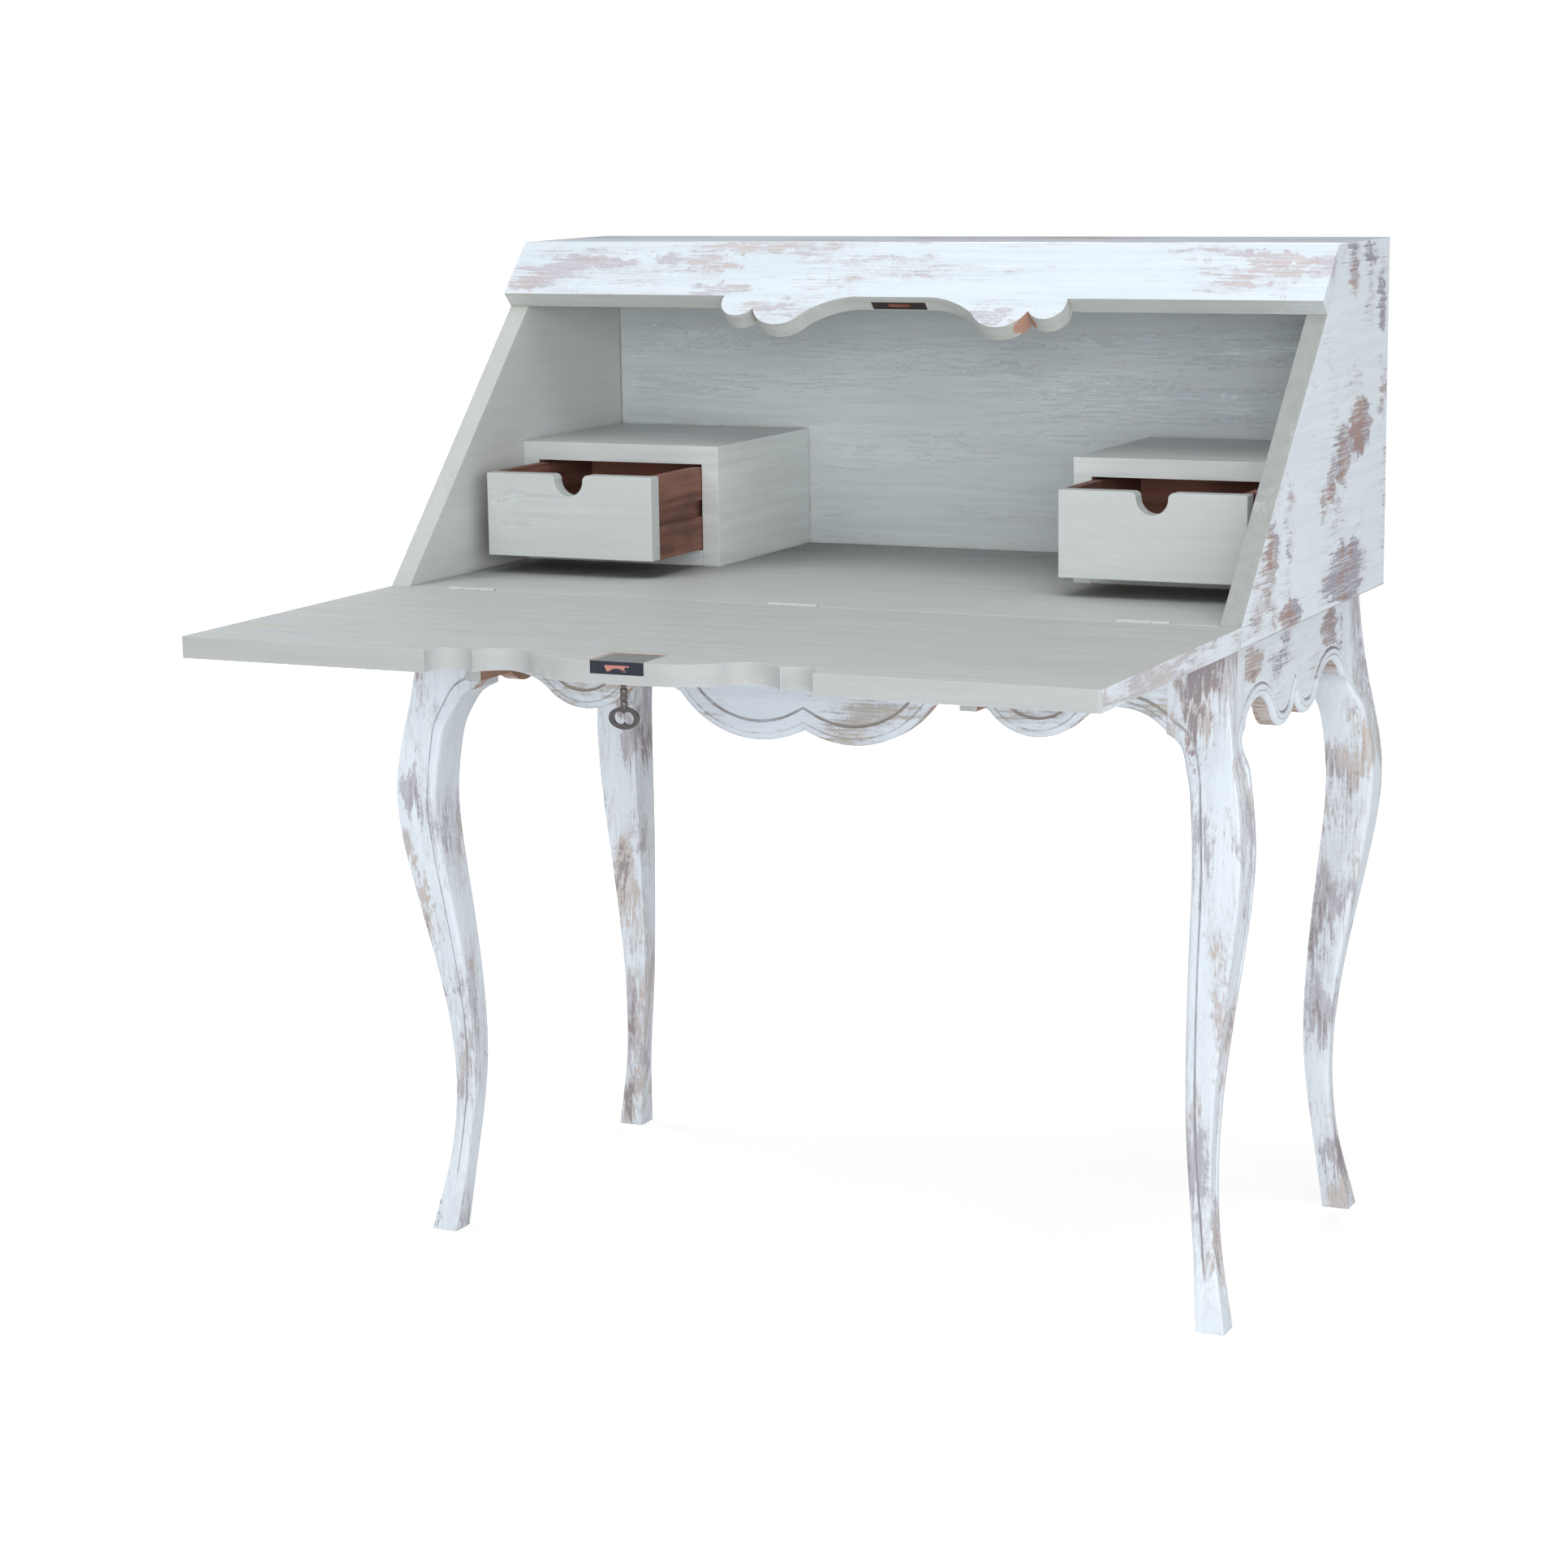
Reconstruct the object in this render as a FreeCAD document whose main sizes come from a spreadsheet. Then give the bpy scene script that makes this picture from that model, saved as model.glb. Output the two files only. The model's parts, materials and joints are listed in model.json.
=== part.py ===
import FreeCAD, Part
import math
import os
import re
import Sketcher

# Bonheur du jour: a small slant-front writing desk on cabriole legs.
# Millimetres, +Z up. X = 0 is the middle, Z = 0 the floor, and the front looks along -Y.
# Y = 0 is the middle of the depth with the lid laid open. Most pieces are placed from the
# hinge line instead, the line where the open lid meets the desk floor.

Vector = FreeCAD.Vector
Rotation = FreeCAD.Rotation

SIZES = {
    # case
    "case_width": 940, "case_depth": 508, "case_height": 1065, "writing_height": 715,
    "slant_angle": 45.5, "side_board": 22, "floor_board": 21, "top_board": 20, "back_board": 12,
    # lid and fascia
    "lid_board": 21, "fascia_depth": 76.5, "lid_gap": 1.5, "lid_corner": 4, "seat_gap": 0.3,
    # scallops of the fascia's lower edge, from the middle outwards: the reach and drop of each
    # turning point, and the bulge of the arc that leaves it
    "fascia_flat": 45, "fascia_sweep": 4.4, "fascia_turn": 97, "fascia_turn_drop": 22.5,
    "fascia_lobe_bulge": 20, "fascia_cusp": 158, "fascia_cusp_drop": 17.5,
    "fascia_wing_bulge": 19, "fascia_wing": 197,
    # table base
    "base_inset": 20, "post_width": 61, "apron_board": 22, "spring_drop": 98.5,
    "tenon_length": 20, "tenon_board": 8, "tenon_inset": 7, "tenon_height": 66,
    # front apron, from the middle outwards: reach and drop of each turning point, bulge between
    "front_cusp_drop": 110, "front_lobe_reach": 139.5, "front_lobe_top": 79,
    "front_lobe_bulge": 27, "front_arch_reach": 203, "front_arch_bulge": 9,
    "front_wing_reach": 297, "front_wing_top": 83, "front_wing_bulge": 21.5,
    "front_spring_bulge": 17,
    # side aprons
    "side_cusp_drop": 83, "side_lobe_reach": 82, "side_lobe_top": 86.5,
    "side_lobe_bulge": 24, "side_spring_bulge": 20,
    # cabriole leg: each station's drop below the case or height above the floor, how far its
    # outer corner stands out of the post's corner, and the width of the square section there
    "shoulder_drop": 94, "shoulder_out": 9.6,
    "bracket_drop": 113, "bracket_reach": 42, "throat_drop": 154, "throat_reach": 31.5,
    "knee_drop": 194, "knee_bulge": 23.6, "knee_width": 51.5,
    "calf_out": 14.6, "calf_width": 48.2,
    "shin_up": 300, "shin_hollow": 2.7, "shin_width": 39.4,
    "ankle_up": 180, "ankle_hollow": 15.3, "ankle_width": 29.5,
    "heel_up": 80, "heel_hollow": 9.6, "heel_width": 25,
    "toe_out": 4.6, "toe_width": 29.5,
    # lopers, the slides that carry the open lid
    "loper_width": 18, "loper_height": 41.7, "loper_length": 420, "loper_pull": 208,
    "loper_inset": 124, "guide_board": 8,
    # drawer boxes and drawers
    "box_width": 242, "box_height": 132, "box_front": 256, "box_board": 20, "box_bottom": 18,
    "drawer_play": 1, "drawer_lift": 1, "drawer_head_gap": 3, "drawer_length": 232,
    "drawer_front_board": 19, "drawer_side_board": 11, "drawer_back_board": 9,
    "drawer_back_drop": 8, "drawer_bottom_board": 5, "drawer_bottom_lift": 5,
    "drawer_bottom_tongue": 4, "groove_height": 18, "groove_depth": 5, "groove_lift": 36,
    "left_pull": 121, "right_pull": 103,
    "finger_radius": 17, "finger_flare": 6,
    # hinges
    "hinge_margin": 49.5, "hinge_length": 54, "hinge_gap": 0.5, "leaf_board": 1.2,
    "leaf_height": 16, "barrel_radius": 2.8, "barrel_room": 0.5, "pin_radius": 1.4,
    "pin_play": 0.05,
    # lock, key and strike
    "lock_reach": 3.5, "plate_board": 2, "cover_width": 52, "cover_depth": 46,
    "face_width": 55, "face_height": 12, "works_width": 42, "works_depth": 36,
    "works_height": 9, "bolt_width": 25, "bolt_height": 6, "bolt_length": 7, "bolt_drop": 3.5,
    "bolt_play": 0.15, "bolt_throw": 6, "tail_width": 10, "tail_board": 1.5, "tail_length": 16,
    "key_backset": 13, "chamber_radius": 9, "chamber_play": 0.3, "bit_width": 7.5,
    "bit_play": 0.4, "bit_height": 3.6, "bit_board": 1.6, "shank_radius": 2.4,
    "shank_play": 0.1, "keyhole_radius": 4.5, "collar_radius": 3.4, "collar_height": 4,
    "collar_drop": 10, "collar_gap": 4.5, "bow_width": 30.5, "bow_height": 21,
    "bow_board": 3.4, "bow_wall": 4.2, "lobe_reach": 4.5, "lobe_radius": 6,
    "strike_width": 62, "strike_height": 11, "strike_board": 1.5,
}

doc = FreeCAD.newDocument("BonheurDuJour")
sheet = doc.addObject("Spreadsheet::Sheet", "Sizes")
for row, (alias, number) in enumerate(SIZES.items(), start=1):
    sheet.set(f"A{row}", alias.replace("_", " "))
    sheet.set(f"B{row}", str(number))
    sheet.setAlias(f"B{row}", alias)
doc.recompute()

# Places worked out from the sizes, as expressions.
TILT = "(slant_angle * 1 deg)"
HALF_WIDTH = "(case_width / 2)"
INSIDE = "(case_width / 2 - side_board)"
CASE_BOTTOM = "(writing_height - floor_board)"
CASE_ROOF = "(case_height - top_board)"
BACK_FACE = "(case_depth - back_board)"
BASE_SIDE = "(case_width / 2 - base_inset)"
BASE_BACK = "(case_depth - base_inset)"
POST_INNER = "(case_width / 2 - base_inset - post_width)"
LOPER_REACH = f"({POST_INNER} - loper_inset)"
FASCIA_TOP = f"((case_height - writing_height - lid_board * cos{TILT}) / sin{TILT})"
FASCIA_START = f"({FASCIA_TOP} - fascia_depth)"
LID_DEPTH = f"({FASCIA_START} - lid_gap)"
HINGE_LINE = f"(({LID_DEPTH} - case_depth + base_inset - knee_bulge) / 2)"
SET_BACK = f"(seat_gap / sin{TILT})"
STRIKE_LOW = "(bolt_drop + bolt_height / 2 - strike_height / 2)"
QUARTER_RISE = "(1 - sqrt(0.5))"            # rise of a quarter circle over its chord, of its radius

ALIAS_WORD = re.compile(r"\b(" + "|".join(SIZES) + r")\b")
nodes = {}


def value(expression):
    """The number that an expression of the sheet's sizes gives now."""
    return float(sheet.evalExpression(str(expression)))


def bound(expression):
    """The same expression as another object of the document writes it."""
    return ALIAS_WORD.sub(r"Sizes.\1", str(expression))


def bind(item, name, expression):
    item.setExpression(name, bound(expression))


def put(item, x="0", y="0", z="0"):
    """Place a piece: x from the middle, y back from the hinge line, z above the floor."""
    for axis, place in zip("xyz", (x, f"{HINGE_LINE} + ({y})", z)):
        bind(item, f"Placement.Base.{axis}", place)
    return item


def sub_part(label, item):
    """Give a finished piece its label, which names its file."""
    item.Label = label
    nodes[label] = item
    return item


def block(name, place, size):
    """A plain board or a cutter: Part::Box from its lowest corner."""
    item = doc.addObject("Part::Box", name)
    for side, length in zip(("Length", "Width", "Height"), size):
        bind(item, side, length)
    return put(item, *place)


def centred_block(name, x, y, z, width, depth, height):
    """A block that is centred across the desk on x."""
    return block(name, (f"{x} - ({width}) / 2", y, z), (width, depth, height))


def rod(name, place, radius, length, turn=None):
    """A cylinder from the middle of its first end, upright unless it is turned."""
    item = doc.addObject("Part::Cylinder", name)
    bind(item, "Radius", radius)
    bind(item, "Height", length)
    if turn:
        item.Placement.Rotation = turn
    return put(item, *place)


def fused(name, pieces):
    item = doc.addObject("Part::MultiFuse", name)
    item.Shapes = pieces
    item.Refine = True
    return item


def cut(name, base, cutters):
    item = doc.addObject("Part::Cut", name)
    item.Base = base
    item.Tool = cutters[0] if len(cutters) == 1 else fused(f"{name}_cutters", cutters)
    return item


def arc_between(start, end, bulge):
    """An arc that bulges to the left of the way from start to end when bulge is positive."""
    chord = end - start
    left = Vector(-chord.y, chord.x, 0).normalize()
    radius = (chord.Length ** 2 / 4 + bulge ** 2) / (2 * abs(bulge))
    centre = (start + end) * 0.5 + left * (bulge - math.copysign(radius, bulge))
    rims = (end, start) if bulge > 0 else (start, end)
    angles = [math.atan2(rim.y - centre.y, rim.x - centre.x) for rim in rims]
    if angles[1] < angles[0]:
        angles[1] += 2 * math.pi
    return Part.ArcOfCircle(Part.Circle(centre, Vector(0, 0, 1), radius), *angles)


def draw(sketch, corners):
    """Draw a closed outline in a sketch and bind it to the sheet.

    A corner is (x, y), or (x, y, bulge) where the edge that leaves it is an arc.
    """
    here = [Vector(value(c[0]), value(c[1]), 0) for c in corners]
    ends = []
    for index, corner in enumerate(corners):
        after = (index + 1) % len(corners)
        bulge = corner[2] if len(corner) > 2 else None
        if bulge is None:
            edge = sketch.addGeometry(Part.LineSegment(here[index], here[after]), False)
            ends.append((edge, 1, 2))
            continue
        way = value(bulge)
        edge = sketch.addGeometry(arc_between(here[index], here[after], way), False)
        ends.append((edge, 2, 1) if way > 0 else (edge, 1, 2))
        run = [f"(({corners[after][i]}) - ({corner[i]}))" for i in (0, 1)]
        radius = f"({run[0]}^2 + {run[1]}^2) / (8 * abs({bulge})) + abs({bulge}) / 2"
        fix = sketch.addConstraint(Sketcher.Constraint("Radius", edge, value(radius)))
        bind(sketch, f"Constraints[{fix}]", radius)
    for index, (edge, start, end) in enumerate(ends):
        following, its_start, _ = ends[(index + 1) % len(ends)]
        sketch.addConstraint(Sketcher.Constraint("Coincident", edge, end, following, its_start))
        for kind, place in zip(("DistanceX", "DistanceY"), corners[index]):
            fix = sketch.addConstraint(Sketcher.Constraint(kind, -1, 1, edge, start, value(place)))
            bind(sketch, f"Constraints[{fix}]", place)


def sketch_in(body, plane, outlines, lift="0"):
    """A sketch on one of the body's origin planes, lifted along the plane's normal."""
    sketch = body.newObject("Sketcher::SketchObject", f"{body.Name}_outline")
    support = next(f for f in body.Origin.OriginFeatures if f.Role == plane)
    sketch.AttachmentSupport = [(support, "")]
    sketch.MapMode = "FlatFace"
    bind(sketch, "AttachmentOffset.Base.z", lift)
    for corners in outlines:
        draw(sketch, corners)
    return sketch


def pad(body, plane, outlines, length, lift="0", reverse=False, middle=False):
    """Pad closed outlines; reverse pads against the plane's normal, middle both ways."""
    feature = body.newObject("PartDesign::Pad", f"{body.Name}_pad")
    feature.Profile = sketch_in(body, plane, outlines, lift)
    bind(feature, "Length", length)
    feature.Reversed = reverse
    feature.Midplane = middle
    return feature


def pocket(body, plane, outlines, depth, lift="0", reverse=False, middle=False):
    """Cut closed outlines out of a body, and check that the cut met the wood."""
    doc.recompute()
    before = body.Shape.Volume
    feature = body.newObject("PartDesign::Pocket", f"{body.Name}_pocket")
    feature.Profile = sketch_in(body, plane, outlines, lift)
    bind(feature, "Length", depth)
    feature.Reversed = reverse
    feature.Midplane = middle
    doc.recompute()
    if body.Shape.Volume > before - 1:
        raise RuntimeError(f"{feature.Name} cuts nothing")
    return feature


def new_body(name):
    return doc.addObject("PartDesign::Body", name)


def rectangle(left, bottom, right, top):
    return [(left, bottom), (right, bottom), (right, top), (left, top)]


def both_sides(half):
    """A whole edge, from its left end to its right end, from the half to the right.

    Each point is (reach, height, bulge of the arc towards the next one out), or has no bulge.
    """
    outwards = [(reach, height, *bulge) for reach, height, *bulge in half]
    inwards = []
    for index in range(len(half) - 1, -1, -1):
        reach, height = half[index][:2]
        bulge = half[index - 1][2:] if index else ()
        if reach != "0":
            inwards.append((f"-({reach})", height, *bulge))
    return inwards + outwards


# ---------------------------------------------------------------- case

def fascia_edge(way):
    """The scalloped lower edge of the fascia; way is 1 up the slant and -1 down the open lid."""
    def point(reach, drop, *bulge):
        height = f"{way} * ({FASCIA_START} - ({drop}))"
        return (reach, height, *(f"{way} * {rise}" for rise in bulge))
    return both_sides([
        point("fascia_flat", "0", "fascia_sweep"),
        point("fascia_turn", "fascia_turn_drop", "-fascia_lobe_bulge"),
        point("fascia_cusp", "fascia_cusp_drop", "-fascia_wing_bulge"),
        point("fascia_wing", "0"),
        point(HALF_WIDTH, "0"),
    ])


def slant_back(height):
    """How far behind the hinge line the slanted edges of the sides are at a height."""
    return f"(({height}) - writing_height) / tan{TILT} + {SET_BACK}"


def make_sides():
    profile = [
        (SET_BACK, CASE_BOTTOM), ("case_depth", CASE_BOTTOM), ("case_depth", CASE_ROOF),
        (slant_back(CASE_ROOF), CASE_ROOF), (SET_BACK, "writing_height"),
    ]
    for label, x in (("side_left", f"-{HALF_WIDTH}"), ("side_right", INSIDE)):
        body = new_body(label)
        pad(body, "YZ_Plane", [profile], "side_board")
        sub_part(label, put(body, x))


def make_top_board():
    body = new_body("top_board")
    profile = [
        (slant_back(CASE_ROOF), CASE_ROOF), ("case_depth", CASE_ROOF),
        ("case_depth", "case_height"), (slant_back("case_height"), "case_height"),
    ]
    pad(body, "YZ_Plane", [profile], "case_width", middle=True)
    sub_part("top_board", put(body))


def make_back_panel():
    height = f"{CASE_ROOF} - {CASE_BOTTOM}"
    sub_part("back_panel", block(
        "back_panel", (f"-{INSIDE}", BACK_FACE, CASE_BOTTOM), (f"2 * {INSIDE}", "back_board", height)))


def make_fascia():
    """The fixed slanting board above the lid: x across, y up the slant, z out of it."""
    body = new_body("fascia")
    inner_top = f"(case_height - writing_height + seat_gap * cos{TILT}) / sin{TILT}"
    outline = fascia_edge(1) + [(HALF_WIDTH, inner_top), (f"-{HALF_WIDTH}", inner_top)]
    pad(body, "XY_Plane", [outline], "lid_board + seat_gap", lift="-seat_gap")
    above_case = [(inner_top, "-seat_gap"), (f"{inner_top} + 1", "lid_board"),
                  (FASCIA_TOP, "lid_board")]
    pocket(body, "YZ_Plane", [above_case], "case_width + 2", middle=True)
    plate = rectangle("lock_reach - strike_width / 2", f"{FASCIA_START} - 1",
                      "lock_reach + strike_width / 2", f"{FASCIA_START} + strike_board")
    pocket(body, "XY_Plane", [plate], "strike_height", lift=STRIKE_LOW, reverse=True)
    half_slot = "bolt_width / 2 + 3 * bolt_play"
    mortise = rectangle(f"lock_reach - ({half_slot})", f"{FASCIA_START} - 1", f"lock_reach + {half_slot}",
                        f"{FASCIA_START} + bolt_throw + 2")
    pocket(body, "XY_Plane", [mortise], "bolt_height + 4 * bolt_play",
           lift="bolt_drop - 2 * bolt_play", reverse=True)
    sub_part("fascia", lean(put(body, z="writing_height")))


def lean(item):
    """Tip a piece drawn flat up to the slant, about the hinge line."""
    item.Placement.Rotation = Rotation(Vector(1, 0, 0), value("slant_angle"))
    bind(item, "Placement.Rotation.Angle", "slant_angle")
    return item


def make_strike_plate():
    body = new_body("strike_plate")
    plate = rectangle("lock_reach - strike_width / 2", FASCIA_START,
                      "lock_reach + strike_width / 2", f"{FASCIA_START} + strike_board")
    pad(body, "XY_Plane", [plate], "strike_height", lift=STRIKE_LOW)
    half_slot = "bolt_width / 2 + 2 * bolt_play"
    slot = rectangle(f"lock_reach - ({half_slot})", f"{FASCIA_START} - 1", f"lock_reach + {half_slot}",
                     f"{FASCIA_START} + strike_board + 1")
    pocket(body, "XY_Plane", [slot], "bolt_height + 2 * bolt_play", lift="bolt_drop - bolt_play",
           reverse=True)
    sub_part("strike_plate", lean(put(body, z="writing_height")))


# ---------------------------------------------------------------- hinges

HINGE_REACH = f"({INSIDE} - hinge_margin - hinge_length / 2)"
HINGE_PLACES = {"left": f"-{HINGE_REACH}", "middle": "0", "right": HINGE_REACH}
ALONG_X = Rotation(Vector(0, 1, 0), 90)
BARREL_NOTCH = "(barrel_radius + barrel_room)"
LEAF_TOP = "(writing_height - barrel_radius - seat_gap)"
SEGMENT = "((hinge_length - 2 * seat_gap) / 3)"


def hinge_cutters(name, x, front):
    """Cutters for one hinge in a board's edge: the leaf's mortise and the barrel's notch."""
    low = "writing_height - leaf_height"
    if front:
        leaf_y, notch_y = "-hinge_gap / 2 - leaf_board", f"-{BARREL_NOTCH}"
    else:
        leaf_y, notch_y = "hinge_gap / 2", "0"
    mortise = centred_block(f"{name}_mortise", x, leaf_y, low, "hinge_length", "leaf_board",
                            "leaf_height")
    notch = centred_block(f"{name}_notch", x, notch_y, f"writing_height - {BARREL_NOTCH}",
                          "hinge_length + 2 * seat_gap", BARREL_NOTCH, f"{BARREL_NOTCH} + 1")
    return [mortise, notch]


def make_leaf(label, x, front, segments):
    """A hinge leaf: the plate in its mortise and its knuckles, bored for the pin."""
    leaf_y = "-hinge_gap / 2 - leaf_board" if front else "hinge_gap / 2"
    low = "writing_height - leaf_height"
    pieces = [centred_block(f"{label}_plate", x, leaf_y, low, "hinge_length", "leaf_board",
                            f"{LEAF_TOP} - ({low})")]
    for segment in segments:
        start = f"{x} - hinge_length / 2 + {segment} * ({SEGMENT} + seat_gap)"
        pieces.append(block(f"{label}_neck", (start, leaf_y, f"{LEAF_TOP} - 1"),
                            (SEGMENT, "leaf_board", "barrel_radius")))
        pieces.append(rod(f"{label}_knuckle", (start, "0", "writing_height"), "barrel_radius",
                          SEGMENT, ALONG_X))
    bore = rod(f"{label}_bore", (f"{x} - hinge_length / 2 - 1", "0", "writing_height"),
               "pin_radius + pin_play", "hinge_length + 2", ALONG_X)
    sub_part(label, cut(f"{label}_bored", fused(f"{label}_blank", pieces), [bore]))


def make_hinges():
    for side, x in HINGE_PLACES.items():
        make_leaf(f"hinge_{side}_case_leaf", x, False, (0, 2))
        make_leaf(f"hinge_{side}_lid_leaf", x, True, (1,))
        sub_part(f"hinge_{side}_pin", rod(f"hinge_{side}_pin", (
            f"{x} - hinge_length / 2", "0", "writing_height"), "pin_radius", "hinge_length", ALONG_X))


def make_desk_floor():
    board = block("floor_blank", (f"-{INSIDE}", "hinge_gap / 2", CASE_BOTTOM),
                  (f"2 * {INSIDE}", f"{BACK_FACE} - hinge_gap / 2", "floor_board"))
    cutters = []
    for side, x in HINGE_PLACES.items():
        cutters += hinge_cutters(f"floor_{side}", x, False)
    sub_part("desk_floor", cut("floor_cut", board, cutters))


# ---------------------------------------------------------------- lid and lock

LID_BACK = "(hinge_gap / 2)"
KEY_Y = f"(key_backset - {LID_DEPTH})"


def fascia_clearance():
    """What the closed lid leaves free for the fascia, drawn on the open lid."""
    sketch = doc.addObject("Sketcher::SketchObject", "fascia_shadow")
    beyond = f"-({FASCIA_START} + 40)"
    draw(sketch, fascia_edge(-1) + [(HALF_WIDTH, beyond), (f"-{HALF_WIDTH}", beyond)])
    ring = doc.addObject("Part::Offset2D", "fascia_shadow_with_gap")
    ring.Source = sketch
    bind(ring, "Value", "lid_gap")
    cutter = doc.addObject("Part::Extrusion", "fascia_clearance")
    cutter.Base = ring
    cutter.DirMode = "Custom"
    cutter.Dir = Vector(0, 0, 1)
    bind(cutter, "LengthFwd", "lid_board + 2")
    cutter.Solid = True
    return put(cutter, z=f"{CASE_BOTTOM} - 1")


def lock_works(name):
    """The block of the lock behind its two faces, or the recess for it."""
    return centred_block(name, "lock_reach", f"plate_board - {LID_DEPTH}",
                         "writing_height - plate_board - works_height", "works_width",
                         "works_depth", "works_height")


def keyhole_slot(name, low, height):
    """The slot that lets the key's bit in, beside the round hole for its shank."""
    return block(name, ("lock_reach", f"{KEY_Y} - bit_board / 2 - bit_play", low),
                 ("bit_width + bit_play", "bit_board + 2 * bit_play", height))


def lock_plates(name):
    """The two faces of the lock: the cover on the lid's top, the face in its front edge."""
    cover = centred_block(f"{name}_cover", "lock_reach", f"-{LID_DEPTH}",
                          "writing_height - plate_board", "cover_width", "cover_depth", "plate_board")
    face = centred_block(f"{name}_face", "lock_reach", f"-{LID_DEPTH}", "writing_height - face_height",
                         "face_width", "plate_board", "face_height")
    return [cover, face]


def bolt_shape(name, play, travel):
    """The bolt's head and tail; with play and travel it is the way that they slide in."""
    low = f"writing_height - bolt_drop - bolt_height - {play}"
    head = centred_block(f"{name}_head", "lock_reach", f"bolt_play - {LID_DEPTH} - {travel}", low,
                         f"bolt_width + 2 * {play}", f"bolt_length + {travel} + {play}",
                         f"bolt_height + 2 * {play}")
    tail = centred_block(f"{name}_tail", "lock_reach", f"bolt_play - {LID_DEPTH} + bolt_length - 1",
                         f"writing_height - bolt_drop - tail_board - {play}",
                         f"tail_width + 2 * {play}", f"tail_length + 1 + {play}",
                         f"tail_board + 2 * {play}")
    return [head, tail]


BIT_TOP = f"(writing_height - bolt_drop - tail_board - 2 * bolt_play - chamber_play)"
BIT_LOW = f"({BIT_TOP} - bit_height)"


def make_lock():
    chamber = rod("lock_chamber", ("lock_reach", KEY_Y, f"{BIT_LOW} - chamber_play"),
                  "chamber_radius", "bit_height + 2 * chamber_play")
    below = f"{BIT_LOW} - works_height"
    shank_way = rod("lock_shank_way", ("lock_reach", KEY_Y, below), "shank_radius + shank_play",
                    "works_height + bit_height")
    bit_way = keyhole_slot("lock_bit_way", below, "works_height + bit_height")
    blank = fused("lock_blank", lock_plates("lock") + [lock_works("lock_works")])
    ways = bolt_shape("bolt_way", "bolt_play", "bolt_throw") + [chamber, shank_way, bit_way]
    sub_part("lock_case", cut("lock_cut", blank, ways))
    sub_part("lock_bolt", fused("lock_bolt_fused", bolt_shape("bolt", "0", "0")))


KEY_RISE = f"({BIT_TOP} - {CASE_BOTTOM})"
SHANK_END = "(collar_drop + 2 * collar_height + collar_gap)"
BOW_MIDDLE = f"(-{SHANK_END} - bow_height / 2)"


def make_key():
    """The key hangs down out of the lid: turned shank and collars, flat bow and bit."""
    body = new_body("key")
    pad(body, "XZ_Plane", [oval("bow_width / 2", "bow_height / 2")], "bow_board", middle=True)
    pocket(body, "XZ_Plane", [bow_opening()], "bow_board + 2", middle=True)
    low_collar = "collar_drop + collar_height + collar_gap"
    turned = sketch_in(body, "XZ_Plane", [[
        ("0", f"-{SHANK_END} - bow_wall / 2"), ("shank_radius", f"-{SHANK_END} - bow_wall / 2"),
        ("shank_radius", f"-{SHANK_END}"), ("collar_radius", f"-{SHANK_END}"),
        ("collar_radius", f"-({low_collar})"), ("shank_radius", f"-({low_collar})"),
        ("shank_radius", "-collar_drop - collar_height"),
        ("collar_radius", "-collar_drop - collar_height"), ("collar_radius", "-collar_drop"),
        ("shank_radius", "-collar_drop"), ("shank_radius", KEY_RISE), ("0", KEY_RISE)]])
    shank = body.newObject("PartDesign::Revolution", "key_shank")
    shank.Profile = turned
    shank.ReferenceAxis = (turned, ["V_Axis"])
    shank.Angle = 360
    pad(body, "XZ_Plane", [rectangle("0", f"{KEY_RISE} - bit_height", "bit_width", KEY_RISE)],
        "bit_board", middle=True)
    sub_part("key", put(body, "lock_reach", KEY_Y, CASE_BOTTOM))


def oval(half_width, half_height):
    """The bow's outline: an oval of four arcs, rounder at its sides than above and below."""
    shoulder = f"{half_width} * sqrt(0.5)", f"{half_height} * sqrt(0.5)"
    end_bulge = f"-{half_width} * {QUARTER_RISE}"
    brow_bulge = f"-{half_height} * {QUARTER_RISE}"
    x, z = shoulder
    return [
        (f"-({x})", f"{BOW_MIDDLE} - {z}", brow_bulge), (x, f"{BOW_MIDDLE} - {z}", end_bulge),
        (x, f"{BOW_MIDDLE} + {z}", brow_bulge), (f"-({x})", f"{BOW_MIDDLE} + {z}", end_bulge)]


def bow_opening():
    """The bow's opening: two round lobes side by side that meet in a cusp above and below."""
    cusp = "sqrt(lobe_radius^2 - lobe_reach^2)"
    side = "lobe_reach + lobe_radius"
    chord = f"(({side})^2 + ({cusp})^2)"
    bulge = f"-(lobe_radius - sqrt(lobe_radius^2 - {chord} / 4))"
    return [("0", f"{BOW_MIDDLE} - {cusp}", bulge), (side, BOW_MIDDLE, bulge),
            ("0", f"{BOW_MIDDLE} + {cusp}", bulge), (f"-({side})", BOW_MIDDLE, bulge)]


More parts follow.
